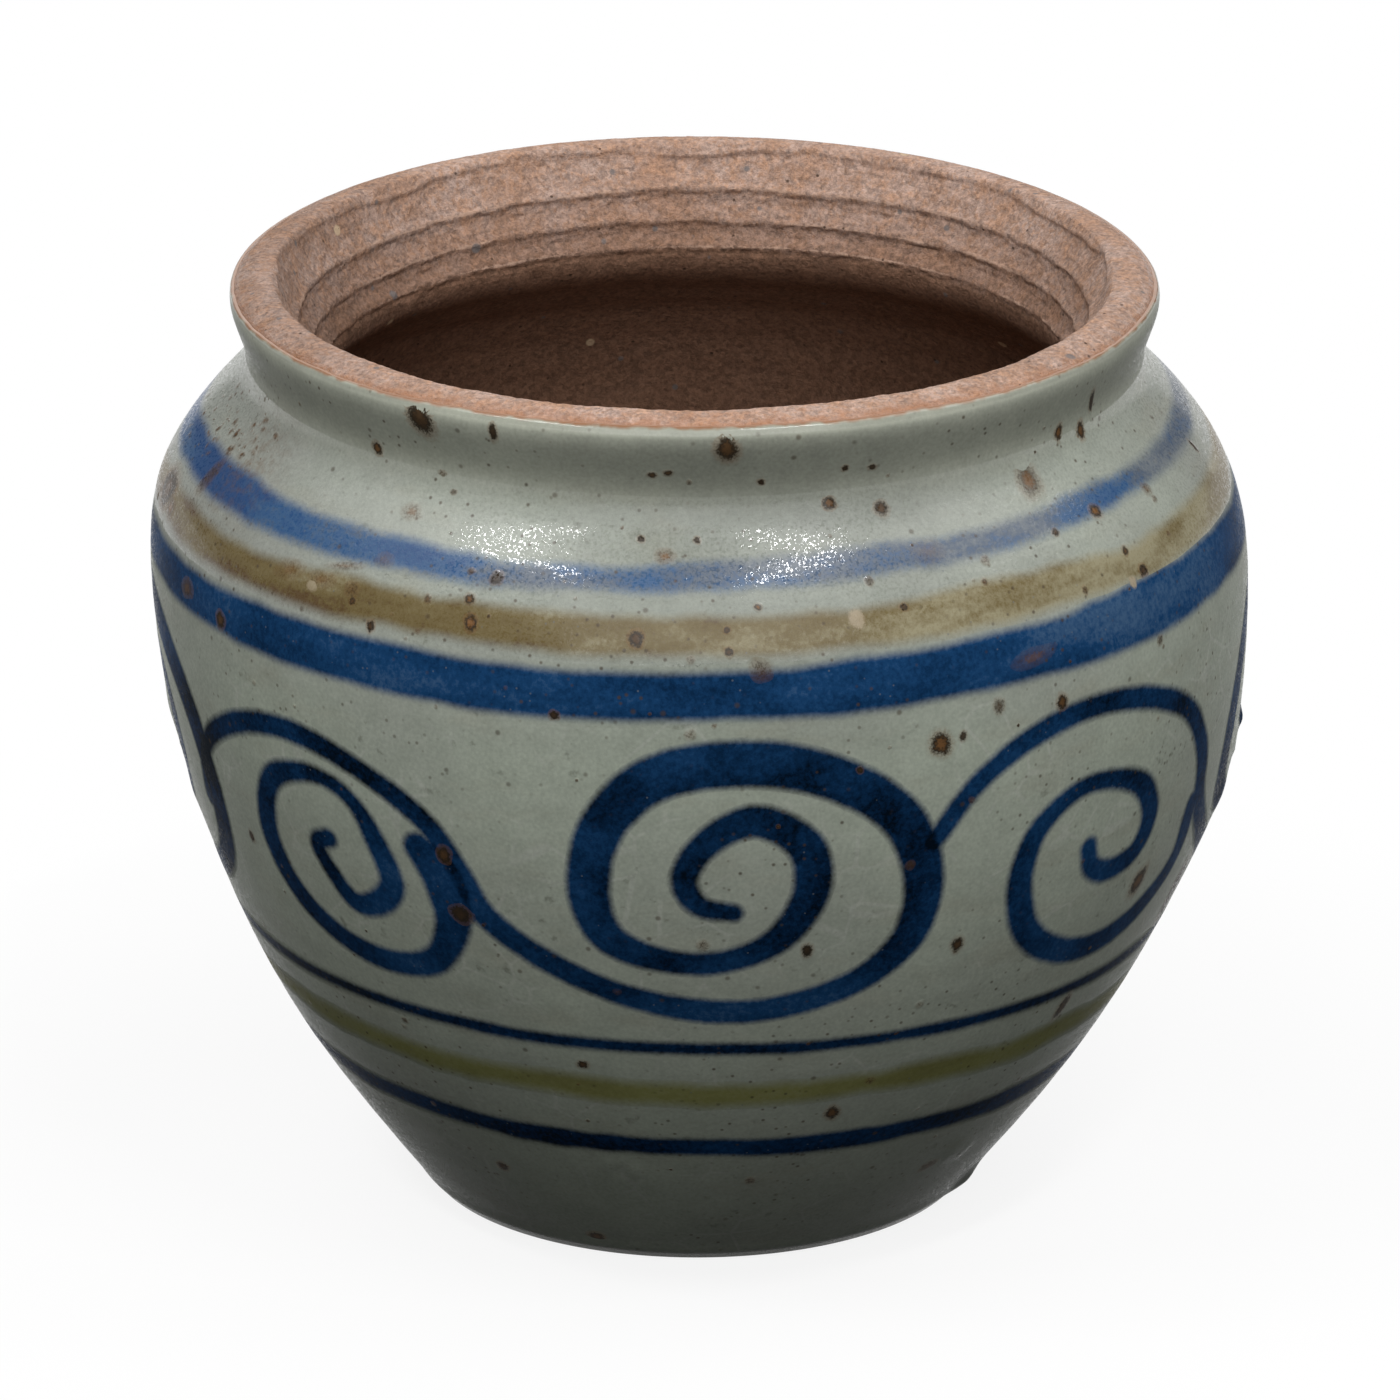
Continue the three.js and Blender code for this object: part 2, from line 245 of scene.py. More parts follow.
CURL_FIRST = (
    (-31.6, 70, 4.6), (-29.4, 66.8, 6.6), (-28.6, 62.8, 6.4), (-28.8, 59.4, 5.2), (-30.4, 54.8, 4.2),
    (-33, 51.7, 3.8), (-39, 50.1, 3.8), (-46, 51.7, 3.8), (-52, 56.7, 3.9), (-54.5, 64.9, 4),
    (-52, 73.7, 3.4), (-45, 76.9, 2.4), (-40, 75, 2.5), (-37, 68.7, 3.4), (-36, 63, 3.7), (-39, 59.2, 3.5),
    (-42, 58.6, 3.2), (-45, 63, 2.8), (-46, 66.2, 2.6), (-44, 67.7, 2.6),
)
CURL_SECOND = (
    (66.5, 63, 4), (66, 55.4, 3.8), (60, 50.4, 3.8), (52, 48.2, 3.8), (44, 49.8, 3.8), (38, 54.8, 4),
    (35.5, 63, 4), (37, 70.6, 3.4), (42, 75, 2.6), (47, 75, 2.6), (53, 71.8, 3.4), (55.5, 66.2, 3.8),
    (54, 61.7, 3.6), (49, 60.5, 3.4), (46, 62.4, 3), (45, 65.5, 2.8),
)
FRIEZE_TURN = 0.5
UNIT_TURN = 90
HALF_TURN = 180
STROKE_SAMPLE = 0.3
STROKE_RADIUS = 72
PATH_STEPS = 40

# Ripples: seed, waves round the jar, pitch along it and rise
RIPPLE_ROWS = 96
GLAZE_JAGS = ((11, 60, 1, 0.6), (12, 210, 1, 0.5))
LIP_GRIT = ((21, CLAY_COLUMNS, 0.5, 0.09),)
SKIN_WANDER = ((22, 30, 1, 0.95), (23, 90, 1, 0.35))
SKIN_UNEVEN = ((29, 40, 1, 0.45),)
THROAT_GRIT = ((24, CLAY_COLUMNS, 0.5, 1),)
THROAT_LUMPS = ((26, 110, 1.6, 0.11),)
LEDGE_WANDER = ((25, 14, 6, 0.25), (27, 70, 3, 0.13))
# How unevenly the painted light and shade of the ledges lie round the jar
LEDGE_PAINT_UNEVEN = ((28, 60, 4, 0.5),)
BAND_SWAY = ((30, 7, 1, 0.15),)
UPPER_WANDER = ((40, 34, 1, 0.8), (50, 110, 1, 0.45))
LOWER_WANDER = ((60, 31, 1, 0.8), (70, 104, 1, 0.45))
BAND_PATCHES = ((80, 14, 1, 0.2),)
STROKE_WANDER = ((90, 150, 3, 0.07), (91, 420, 1.1, 0.049))
STROKE_PATCHES = ((92, 22, 16, 0.45),)

# Iron spots in the photograph: pixel across and down, half width and height, tilt, warmth, strength
SPOTS_SEEN = (
    (420, 418, 2, 2.5, 20, 0.2, 1), (378, 448, 0.9, 1, 0, 0.6, 1), (493, 432, 0.6, 1.4, 0, 0.1, 0.9),
    (727, 449, 1.6, 1.9, 0, 0.35, 1), (443, 473, 0.6, 0.5, 0, 0.2, 0.6), (412, 512, 1.3, 1.1, 0, 0.9, 0.5),
    (665, 556, 1.1, 1, 0, 1, 0.6), (641, 539, 0.5, 0.5, 0, 0.1, 0.9), (697, 540, 0.5, 0.5, 0, 0.1, 0.9),
    (497, 578, 0.9, 1, 0, 0.1, 0.8), (470, 599, 0.7, 0.8, 0, 1, 0.8), (428, 599, 0.5, 0.6, 0, 0.5, 0.7),
    (353, 601, 0.5, 0.6, 0, 0.4, 0.8), (313, 585, 0.9, 0.9, 0, -1, 0.6), (471, 623, 1, 1.2, 0, 0.9, 1),
    (371, 626, 0.7, 0.8, 0, 0.2, 1), (636, 639, 1, 1.3, 0, 0.3, 1), (221, 620, 1.2, 1.2, 0, 0.3, 1),
    (188, 588, 1.8, 1.3, 0, 0.4, 0.7), (210, 477, 1.3, 2.8, -20, 0.1, 0.65),
    (171, 489, 3.4, 2.8, 0, 0.35, 1), (172, 508, 1.8, 1.4, 0, 1, 0.7), (554, 715, 0.7, 0.7, 0, 0.1, 1),
    (761, 671, 1.3, 1.4, 0, 0.2, 0.6), (729, 652, 0.6, 0.7, 0, 0.3, 0.8), (758, 607, 0.5, 0.5, 0, 1, 0.8),
    (652, 475, 0.6, 0.5, 0, 0.3, 0.8), (668, 473, 0.6, 0.5, 0, 0.3, 0.8),
    (761, 482, 0.5, 0.5, 0, 0.1, 0.9), (454, 492, 0.5, 0.4, 0, 0.2, 0.7), (829, 503, 0.9, 1, 0, 0.7, 1),
    (881, 508, 1.1, 1, 0, 0.4, 0.8), (872, 467, 0.6, 0.5, 0, 0.1, 0.8), (845, 468, 0.5, 0.5, 0, 0.1, 0.9),
    (1058, 432, 0.8, 1.3, 0, 0.7, 1), (1080, 430, 0.9, 1.4, 0, 0.5, 1), (1091, 401, 0.6, 2, 15, 0.1, 0.9),
    (1028, 480, 1.9, 2.3, 0, 0.95, 0.7), (1095, 511, 1.1, 1, 0, 1, 0.9),
    (1146, 489, 0.9, 0.9, 0, 0.5, 0.6), (1193, 446, 0.5, 1.2, 10, 0.1, 0.9),
    (928, 551, 2, 1.6, 0, 0.6, 0.25), (1055, 532, 0.6, 0.6, 0, 0.3, 0.8), (857, 619, 1.1, 1.2, 0, -1, 0.8),
    (869, 581, 0.6, 0.6, 0, 0.1, 0.7), (904, 607, 0.6, 0.6, 0, 0.2, 0.8),
    (1143, 570, 0.9, 0.9, 0, 0.2, 0.9), (1125, 551, 0.6, 0.7, 0, 0.5, 0.8),
    (1133, 582, 0.7, 0.8, 0, -1, 0.9), (727, 630, 0.5, 0.5, 0, 0.3, 0.8),
    (1034, 657, 3.4, 1.1, 10, 1, 0.35), (941, 744, 1.6, 1.7, 0, 0.8, 1), (963, 736, 0.6, 0.7, 0, 0.1, 0.8),
    (999, 706, 0.9, 1, 0, 0.2, 0.7), (1062, 702, 1, 1.1, 0, 0.5, 1), (1138, 881, 1.5, 2.4, -25, 0.5, 1),
    (1062, 1006, 1, 2.2, -20, 0.2, 1), (583, 1064, 0.8, 0.8, 0, 0.3, 0.9), (957, 944, 1, 1.2, 0, 0.3, 0.9),
    (807, 950, 0.8, 1.1, 0, 0.1, 0.9), (703, 945, 0.7, 0.8, 0, 0.1, 0.6),
    (444, 855, 1.2, 1.3, 0, 0.3, 0.9), (461, 914, 1.7, 1.5, 0, 0.1, 0.9),
    (252, 836, 0.7, 0.9, 0, 0.2, 0.9), (860, 770, 0.5, 0.5, 0, 0.1, 0.9), (832, 1112, 1, 1.4, 0, 0.5, 1),
    (1172, 890, 2.2, 5, -25, 0.1, 0.9), (503, 1166, 0.9, 1, 0, 0.2, 1), (597, 1236, 1.2, 1.1, 0, 0.4, 1),
    (928, 1165, 1.3, 1, 20, 0.3, 0.7), (750, 1180, 0.6, 0.7, 0, 0.1, 0.6),
    (870, 1080, 0.6, 0.7, 0, 0.2, 0.6), (690, 735, 0.7, 0.6, 0, 0.2, 0.5),
    (910, 865, 0.6, 0.7, 0, 0.1, 0.6), (405, 1020, 0.5, 0.5, 0, 0.2, 0.7),
    (290, 570, 2.4, 1.3, 15, 0.8, 0.4), (322, 580, 2.2, 1.1, 10, 0.7, 0.45),
    (346, 566, 2.4, 0.5, 12, 0.6, 0.5), (352, 590, 1.2, 1, 0, 0.3, 0.6), (385, 560, 1.4, 0.9, 0, 0.4, 0.4),
    (1085, 590, 0.5, 0.6, 0, 0.3, 0.7), (985, 560, 0.6, 0.6, 0, 0.2, 0.6),
    (1160, 640, 0.6, 0.7, 0, 0.1, 0.7),
)
# Iron spots behind: azimuth, height, then as above; warmth is 0 for dark, 1 for rust and -1 for pale
SPOTS_BEHIND = (
    (112, 70, 1.4, 1.2, 0, 0.5, 1), (140, 90, 1.6, 1.2, 20, 0.7, 1), (165, 40, 1.2, 1, 0, 0.4, 1),
    (190, 112, 1, 0.8, 0, 0.5, 1), (205, 63, 1.5, 1.1, -15, 0.6, 1), (238, 84, 1.3, 1.1, 0, 0.4, 1),
    (252, 30, 1.2, 0.9, 0, 0.5, 1), (175, 122, 1.1, 1.5, 0, 0.4, 1), (128, 119, 1, 0.9, 0, 0.7, 1),
    (226, 118, 1.3, 1.1, 0, 0.6, 1), (150, 107, 2.2, 1.8, 0, 0.6, 0.5), (215, 100, 1.2, 1.3, 0, 0.9, 0.9),
    (182, 86, 1, 1.1, 0, 0.2, 1), (120, 44, 0.9, 1, 0, 0.3, 0.9), (196, 20, 1, 0.9, 0, 0.4, 1),
    (248, 108, 0.9, 1, 0, 0.3, 0.9), (160, 60, 0.8, 0.8, 0, 0.2, 0.8), (232, 56, 1, 1.4, 10, 0.5, 1),
)
# A cloud of small brown specks on the left of the shoulder, and loose ones all round
SPECK_SEED = 77
CLOUD_CENTRE = (236, 428)
CLOUD_REACH = (46, 46)
CLOUD_COUNT = 110
CLOUD_CROWDING = 0.7
CLOUD_LEAST = 0.12
CLOUD_SPREAD = 0.5
CLOUD_FEW = 2
CLOUD_FALL = (1.1, 0.5)
CLOUD_LENGTH = (0.6, 1.8)
CLOUD_TILT = (-90, 90)
CLOUD_WARMTH = (0.3, 0.95)
LOOSE_COUNT = 160
LOOSE_LOW = 6
LOOSE_HIGH = 124
LOOSE_CROWDING = 0.75
LOOSE_LEAST = 0.22
LOOSE_SPREAD = 0.35
LOOSE_FEW = 3
LOOSE_WARMTH = (0, 0.5)
SPECK_STRENGTH = (0.3, 0.8)
SPOT_RINGS = 5
SPOT_SIDES = 20
SPOT_SPREAD = 1.75
SPOT_LIFT = 0.05
SPOT_BACK = 0.3
SPOT_RAGGED = 0.12
SPOT_HUB = 0.04
SPOT_SEED = 500
SPOT_SEAM = 100
SPOT_EDGE_GAP = 0.45
SPOT_WAVES = np.arange(2, 6)
SPOT_MAP_REACH = 0.42
SPOT_MAP_MIDDLE = 0.5
SPOT_MAP_TIP = (0.02, 0.02)

# Camera, from the fit to the photograph
PHOTO_SIZE = 1400
FOCAL_PIXELS = 13885.12
SENSOR_WIDTH = 36
CAMERA_PLACE = (0, -1.79, 0.7306)
CAMERA_DIP = 0.354624
CAMERA_SHIFT = 0.0024
# Steps along a line of sight, in millimetres: first, last and count
RAY_RUN = (1650, 2050, 8001)

# Light: name, place, direction of the long side, length, width and power of each lamp
LAMP_AIM = Vector((0, -0.03, 0.09))
LAMPS = (
    ("left_strip", (-0.634, -0.444, 1.24), (0.61, -0.79, 0), 0.58, 0.05, 5),
    ("right_strip", (0.354, -0.563, 1.24), (-0.671, -0.741, 0), 0.444, 0.05, 4.2),
    ("left_soft", (-0.85, 0.1, 1.3), (0, 1, 0), 1, 1, 5),
    ("right_soft", (0.85, 0.1, 1.3), (0, 1, 0), 1, 1, 7.2),
    ("front_fill", (0.1, -1.8, 1.35), (1, 0, 0), 2.4, 1.6, 24),
    ("back_fill", (0, 1.9, 1.1), (1, 0, 0), 2.4, 1.6, 15),
)
WORLD_GREY = 0.04
FLOOR_RADIUS = 8
FLOOR_DROP = 0.05 * MM
FLOOR_COLUMNS = 96
FLOOR_GLOW = (0.08, 0.2, 0.86, 1)
FLOOR_SEEN = (0.95, 0.95, 0.95)
FLOOR_BOUNCE = (0.02, 0.02, 0.02)

# Colours, linear
GLAZE_PALE = (0.345, 0.36, 0.322)
GLAZE_DEEP = (0.46, 0.508, 0.42)
GLAZE_WARM = (0.36, 0.345, 0.265)
GLAZE_NECK = (0.412, 0.428, 0.352)
GLAZE_EDGE = (0.47, 0.48, 0.4)
GLAZE_CRACK = (0.6, 0.62, 0.56)
GLAZE_SMUDGE = (0.17, 0.18, 0.14)
EDGE_ORANGE = (0.29, 0.125, 0.055)
PATCH_BROWN = (0.17, 0.105, 0.06)
SPECK_DARK = (0.05, 0.05, 0.04)
SPECK_BROWN = (0.1, 0.055, 0.025)
# Pale dots painted on the brushwork as glints
PAINTED_GLINT_PALE = (0.16, 0.18, 0.2)
PALE_GROG = (0.44, 0.36, 0.25)
SPOT_RUST_DARK = (0.15, 0.07, 0.022)
SPOT_RUST_LIGHT = (0.3, 0.15, 0.06)
SPOT_BLACK = (0.01, 0.009, 0.007)
SPOT_BROWN = (0.045, 0.032, 0.02)
COBALT_RAMP = (
    (0, (0.06, 0.125, 0.235)), (0.35, (0.012, 0.06, 0.165)), (0.62, (0.006, 0.034, 0.098)),
    (0.85, (0.003, 0.016, 0.046)), (1, (0.002, 0.007, 0.015)),
)
PALE_BLUE_RAMP = (
    (0, (0.21, 0.23, 0.245)), (0.4, (0.092, 0.122, 0.175)), (0.7, (0.032, 0.104, 0.24)),
    (1, (0.007, 0.062, 0.2)),
)
OLIVE_RAMP = (
    (0, (0.36, 0.32, 0.2)), (0.45, (0.198, 0.152, 0.066)), (0.8, (0.16, 0.115, 0.042)),
    (1, (0.115, 0.068, 0.026)),
)
WASH_RAMP = (
    (0, (0.29, 0.29, 0.13)), (0.5, (0.235, 0.235, 0.068)), (1, (0.17, 0.16, 0.04)),
)
CLAY_LIGHT = (0.495, 0.352, 0.29)
CLAY_DARK = (0.4, 0.25, 0.18)
CLAY_ORANGE = (0.465, 0.268, 0.17)
# Painted shade deep in the throat and lining
CLAY_PAINTED_SHADE = (0.21, 0.115, 0.072)
CLAY_GREY = (0.33, 0.25, 0.215)
CLAY_RUST = (0.4, 0.17, 0.075)
# Painted highlight on the top of the ledges
CLAY_PAINTED_HIGHLIGHT = (0.6, 0.4, 0.3)
CLAY_GRIT = (0.17, 0.16, 0.16)
CLAY_GROG = (0.62, 0.47, 0.31)
# Dark pits of the clay; also the painted shade in the grooves under the ledges
CLAY_PIT_AND_PAINTED_SHADE = (0.06, 0.035, 0.022)
FOOT_WASH = (0.16, 0.17, 0.14)
WHITE = (1, 1, 1)

# Shine, painted shade on the front of the shoulder, and patches of the glaze: middle and reach in
# millimetres
GLAZE_SHINE = 0.42
LOW_GLAZE_SHINE = 0.01
PAINT_SHINE = 0.005
LOW_PAINT_SHINE = 0.002
CLAY_SHINE = 0.2
PAINTED_SHADE_FRONT = (4, -66, 112)
PAINTED_SHADE_REACH = 44
PAINTED_SHADE_DEPTH = 0.25
BROWN_PATCH = (-61, -28, 112)
BROWN_PATCH_REACH = 14
CRACK_SIZE = 7

# Noise: size in millimetres, detail, roughness, stretch and shift
FIELDS = {
    "crowd": (24, 3),
    "speck_hue": (5, 1),
    "rust_hue": (1.2, 2),
    "dark_hue": (0.8, 2),
    "spot_grain": (0.36, 3, 0.75),
    "wave": (3.4, 2),
    "ridges": (1.7, 2, 0.5, (0.07, 0.07, 1)),
    "peel": (0.5, 2, 0.6),
    "clay_cloud": (9, 4, 0.6),
    "hue": (3, 4, 0.65),
    "grain": (0.55, 3, 0.75),
    "lines": (1.8, 4, 0.65, (0.07, 0.07, 1.6)),
    "tint": (0.8, 3, 0.7),
}
BRUSH_NOISE = (9, 3, 0.55)
# Noise as above, then the range that is read and what it becomes
SPREADS = {
    "cloud": ((40, 4, 0.55), (0.3, 0.7, -0.15, 0.35)),
    "drift": ((16, 4, 0.6, (1, 1, 3)), (0.5, 0.75, 0, 0.32)),
    "crack_place": ((11, 3), (0.5, 0.64)),
    "smudge": ((2.2, 3, 0.6, None, (0.31, 0.17, 0.07)), (0.6, 0.76, 0, 0.55)),
    "smudge_place": ((18, 2), (0.42, 0.6)),
    "glaze_grain": ((0.55, 2), (0.2, 0.8, 0.9, 1.08)),
    "glaze_mottle": ((5, 4, 0.65), (0.3, 0.7, 0.93, 1.05)),
    "patch_mottle": ((1.3, 3, 0.65), (0.4, 0.66, 0.0675, 0.45)),
    "clear": ((0.42, 2, 0.6), (0.52, 0.6)),
    "lip_jag": ((2.4, 2), (0.3, 0.7, -0.12, 0.12)),
    "feather": ((0.8, 3, 0.65), (0.25, 0.75, -0.09, 0.09)),
    "paint_mottle": ((0.8, 3, 0.7), (0.25, 0.75, -0.16, 0.16)),
    "ledge_jag": ((1.1, 3, 0.6), (0.25, 0.75, -0.3, 0.3)),
    "rust_jag": ((1.8, 3), (0.3, 0.7, -0.3, 0.3)),
}
# Dots: size of a cell in millimetres, stretch, then the range that is read and what it becomes
DOTS = {
    "tiny": (1.9, None, 0.2, 0.05, 0, 0.8),
    "small": (5.5, None, 0.1, 0.03, 0, 0.6),
    "dimples": (1.7, None, 0.02, 0.16),
    # painted glints: pale dots on the brushwork
    "painted_glints": (2.1, None, 0.09, 0.04, 0, 0.5),
    "grit": (5.5, None, 0.1, 0.05, 0, 0.75),
    "stone": (15, (0.9, 1.1, 1), 0.06, 0.035, 0, 0.8),
    "grog": (17, (1.1, 0.9, 1), 0.055, 0.035, 0, 0.85),
    "pit": (3.1, None, 0.085, 0.04),
}
SAND_SIZE = 0.75
# Ranges of other values: what is read and what it becomes
RANGES = {
    "shoulder": (80, 104, 0, 0.7),
    "neck": (115.5, 121, 0, 0.85),
    # painted shade: the glaze darkens towards the foot
    "foot": (-8, 52, 0.42, 1),
    "crack": (0.045, 0.012, 0, 0.34),
    "crack_height": (102, 88),
    "crowd_height": (86, 108, -0.04, 0.05),
    "crowd": (0.4, 0.58, 0.15, 0.95),
    "rough": (0, 1, 0.36, 0.06),
    "edge_pale": (1.7, 0.8, 0, 0.35),
    "edge_orange": (0.5, 0.05, 0, 0.9),
    "edge_gloss": (0.3, 1.2, 0.3, 1),
    "faint": (0.9, 0.4),
    "ragged": (0.25, 0.75, -0.13, 0.13),
    "ragged_rim": (0, 0.35),
    "crumbs": (0.42, 0.6),
    "crumbs_whole": (0, 1, 1, 0.12),
    "halo": (0.05, 0.55, 0, 0.42),
    "core_low": (0, 1, 0.36, 0.12),
    "core_high": (0, 1, 0.64, 0.95),
    "core_strength": (0, 0.9),
    "heart": (0.6, 0.88),
    "pale": (0.25, 0.6),
    "is_pale": (-0.4, -0.5),
    # painted shade: the throat and lining darken downwards, fading out towards the floor
    "lining": (127, 113, 0, 0.85),
    "deep_lining_painted_shade": (117.4, 115.6, 0, 0.95),
    "above_foot": (4, 12),
    "grain_shade": (0.28, 0.72, 0.7, 1.26),
    "sand_shade": (0, 1, -0.15, 0.15),
    # painted highlight on the ledges and painted shade in the grooves below them
    "ledge_painted_highlight": (0.35, 1, 0, 0.7),
    "ledge_painted_shade": (-0.3, -1.1, 0, 0.22),
    "rust": (-1, 0.1, 0, 0.6),
    # painted shade: the clay darkens towards the left and right
    "left_painted_shade": (-58, -30, 0.78, 1),
    "right_painted_shade": (58, 30, 0.92, 1),
    "foot_out": (35 * MM, 35.8 * MM),
    "foot_up": (3, 2),
    "clay_rough": (0.2, 0.8, 0.78, 0.95),
    "clay_gloss": (-0.95, -0.45, 1, 0.28),
}
CORE_COVER = 0.97
PIT_SHADE = 0.8
LOAD_WEIGHT = 0.42
BRUSH_RANGE = (0.28, 0.72)
# Relief: field and depth in millimetres, from coarse to fine
GLAZE_RELIEF = (("wave", 0.035), ("ridges", 0.022), ("peel", 0.02))
DIMPLE_DEPTH = 0.012
CLAY_RELIEF = (
    ("lines", 0.12), ("hue", 0.25), ("tint", 0.16), ("grain", 0.24), ("sand", 0.03), ("pit", -0.12),
)
# Tints of the clay: field, range that is read, cover and colour
CLAY_TINTS = (
    ("clay_cloud", 0.32, 0.62, 1, CLAY_LIGHT),
    ("hue", 0.45, 0.68, 0.75, CLAY_ORANGE),
    ("lines", 0.5, 0.75, 0.3, CLAY_DARK),
    ("tint", 0.5, 0.66, 0.7, CLAY_ORANGE),
    ("tint", 0.46, 0.32, 0.55, CLAY_GREY),
)
CLAY_DOTS = (("grit", CLAY_GRIT), ("stone", CLAY_GRIT), ("grog", CLAY_GROG))

# Paints: colours, soft edge outside and inside, load where the brush was dry and wet, streak, cover, shine
ALONG_BRUSH = (1, 1, 1)
ROUND_JAR = (0.5, 0.5, 1.6)
PAINTS = {
    "pale_blue": (PALE_BLUE_RAMP, -1.2, 1, 0.15, 0.75, ROUND_JAR, 0.95, GLAZE_SHINE),
    "olive": (OLIVE_RAMP, -1.3, 0.9, 0.1, 0.9, ROUND_JAR, 0.97, GLAZE_SHINE),
    "cobalt_band": (COBALT_RAMP, -1, 0.7, 0.2, 0.6, ROUND_JAR, 1, PAINT_SHINE),
    "cobalt_line": (COBALT_RAMP, -0.9, 0.5, 0.66, 0.92, ROUND_JAR, 1, LOW_PAINT_SHINE),
    "olive_wash": (WASH_RAMP, -1.7, 1.3, 0.3, 0.8, ROUND_JAR, 0.9, LOW_PAINT_SHINE),
    "cobalt_stroke": (COBALT_RAMP, -0.95, 0.45, 0.45, 0.85, ALONG_BRUSH, 1, LOW_PAINT_SHINE),
}
# Material slot of each band's paint
SLOTS = {
    "pale_blue": "pale_blue_brushwork",
    "olive": "olive_brushwork",
    "cobalt_band": "cobalt_brushwork",
    "cobalt_line": "cobalt_brushwork",
    "olive_wash": "olive_brushwork",
}

# Numbers of the sockets that mix two colours, and where a new colour of a ramp starts
MIX_SHARE = 0
MIX_FIRST = 6
MIX_SECOND = 7
MIX_COLOUR = 2
RAMP_MIDDLE = 0.5

# Names that the meshes and materials share
UV_NAME = "OFBake"
EDGE_NAME = "paint_edge"
LOAD_NAME = "paint_load"
LINE_NAME = "glaze_line"
# Attribute of the painted light and shade on the throat's ledges
PAINTED_LEDGE_LIGHT_NAME = "ledge"
SPOT_NAME = "spot_depth"
WARM_NAME = "spot_warmth"
STRENGTH_NAME = "spot_strength"
FAR_FROM_LINE = -9.0


# Lines and noise


def smoothstep(low, high, value):
    share = np.clip((np.asarray(value, float) - low) / (high - low), 0, 1)
    return share * share * (3 - 2 * share)


def between(fades, value):
    rise, fall = fades
    return smoothstep(*rise, value) * smoothstep(*fall, value)


def hump(value, rise, middle, width):
    return rise * np.exp(-((value - middle) / width) ** 2)


def curve_points(controls, count):
    level = [np.broadcast_to(np.array(control, float), (count, 2)) for control in controls]
    share = np.linspace(0, 1, count)[:, None]
    while len(level) > 1:
        level = [first + (second - first) * share for first, second in zip(level, level[1:])]
    return level[0]


def joined(*lines):
    return np.concatenate([lines[0]] + [line[1:] for line in lines[1:]])


def lengths_along(line):
    return np.concatenate([[0], np.cumsum(np.linalg.norm(np.diff(line, axis=0), axis=1))])


def evenly(line, step):
    lengths = lengths_along(line)
    marks = np.linspace(0, lengths[-1], max(2, int(round(lengths[-1] / step)) + 1))
    return np.stack([np.interp(marks, lengths, values) for values in line.T], axis=1)


def line_normals(line):
    along = np.gradient(line, axis=0)
    along /= np.linalg.norm(along, axis=1, keepdims=True)
    return np.stack([along[:, 1], -along[:, 0]], axis=1)


def rows_of(runs):
    return np.concatenate([np.linspace(*run) for run in runs])[:, None]


def outer_line():
    # The four curves, with the turn from shoulder to neck eased
    curves = (BODY_CURVE, SHOULDER_CURVE, NECK_CURVE, LIP_CURVE)
    line = evenly(joined(*(curve_points(curve, CURVE_STEPS) for curve in curves)), WAIST_STEP)
    reach = int(WAIST_REACH * WAIST_BLUR / WAIST_STEP)
    weights = np.exp(-((np.arange(-reach, reach + 1) * WAIST_STEP / WAIST_BLUR) ** 2) / 2)
    weights /= weights.sum()
    eased = np.stack([np.convolve(values, weights, "same") for values in line.T], axis=1)
    return line + (eased - line) * between(WAIST_FADES, line[:, 1:])


OUTER_LINE = outer_line()
OUTER_NORMALS = line_normals(OUTER_LINE)


def wall(height):
    # Radius of the outer form at a height, and its normal outwards and upwards
    profiles = (OUTER_LINE[:, 0], *OUTER_NORMALS.T)
    return [np.interp(height, OUTER_LINE[:, 1], values) for values in profiles]


def ripple(seed, azimuth, along, cells, pitch):
    # Smooth noise from -1 to 1 that closes round the jar
    grid = np.random.default_rng(seed).uniform(-1, 1, (RIPPLE_ROWS, cells))
    column, across = np.divmod(np.asarray(azimuth, float) / TURN * cells, 1)
    row, upward = np.divmod(np.asarray(along, float) / pitch, 1)
    across = smoothstep(0, 1, across)
    upward = smoothstep(0, 1, upward)
    left = column.astype(int) % cells
    right = (left + 1) % cells
    low = row.astype(int) % RIPPLE_ROWS
    high = (low + 1) % RIPPLE_ROWS
    lower = grid[low, left] * (1 - across) + grid[low, right] * across
    upper = grid[high, left] * (1 - across) + grid[high, right] * across
    return lower * (1 - upward) + upper * upward


def rippled(runs, azimuth, along=0, shift=0):
    total = 0
    for seed, cells, pitch, rise in runs:
        total = total + rise * ripple(seed + shift, azimuth, along, cells, pitch)
    return total


def turned_apart(azimuth, centre):
    return (azimuth - centre + math.pi) % TURN - math.pi


def lean(height):
    return LEAN * np.sin(math.pi * height / LEAN_WAVE) * (1 - height / LEAN_FADE)


def room(azimuth, height):
    # How far the wall can swell before it leaves the box of the solid
    radius = wall(height)[0]
    across = np.sin(azimuth)
    side = (SIDE_LIMIT - lean(height) * np.sign(across)) / np.maximum(np.abs(across), SIDE_SHARE)
    front = SIDE_LIMIT / np.maximum(np.abs(np.cos(azimuth)), SIDE_SHARE)
    return np.minimum(side, front) - radius


def swell(azimuth, height):
    rise = RING_SWELL * np.sin(TURN * height / RING_PITCH + np.sin(azimuth))
    for proud, waves, pitch, start in SWELLS:
        rise = rise + proud * np.sin(waves * azimuth + height / pitch + start)
    rise = rise * smoothstep(*SWELL_FOOT, height) * (1 - NECK_CALM * smoothstep(*SWELL_NECK, height))
    for degrees, middle, spread, proud in LUMPS:
        across = turned_apart(azimuth, degrees * DEGREE) * wall(middle)[0]
        apart = across ** 2 + (height - middle) ** 2
        rise = rise + proud * np.exp(-apart / (2 * spread ** 2))
    limit = room(azimuth, height)
    return -SIDE_SOFTNESS * np.logaddexp(-rise / SIDE_SOFTNESS, -limit / SIDE_SOFTNESS)


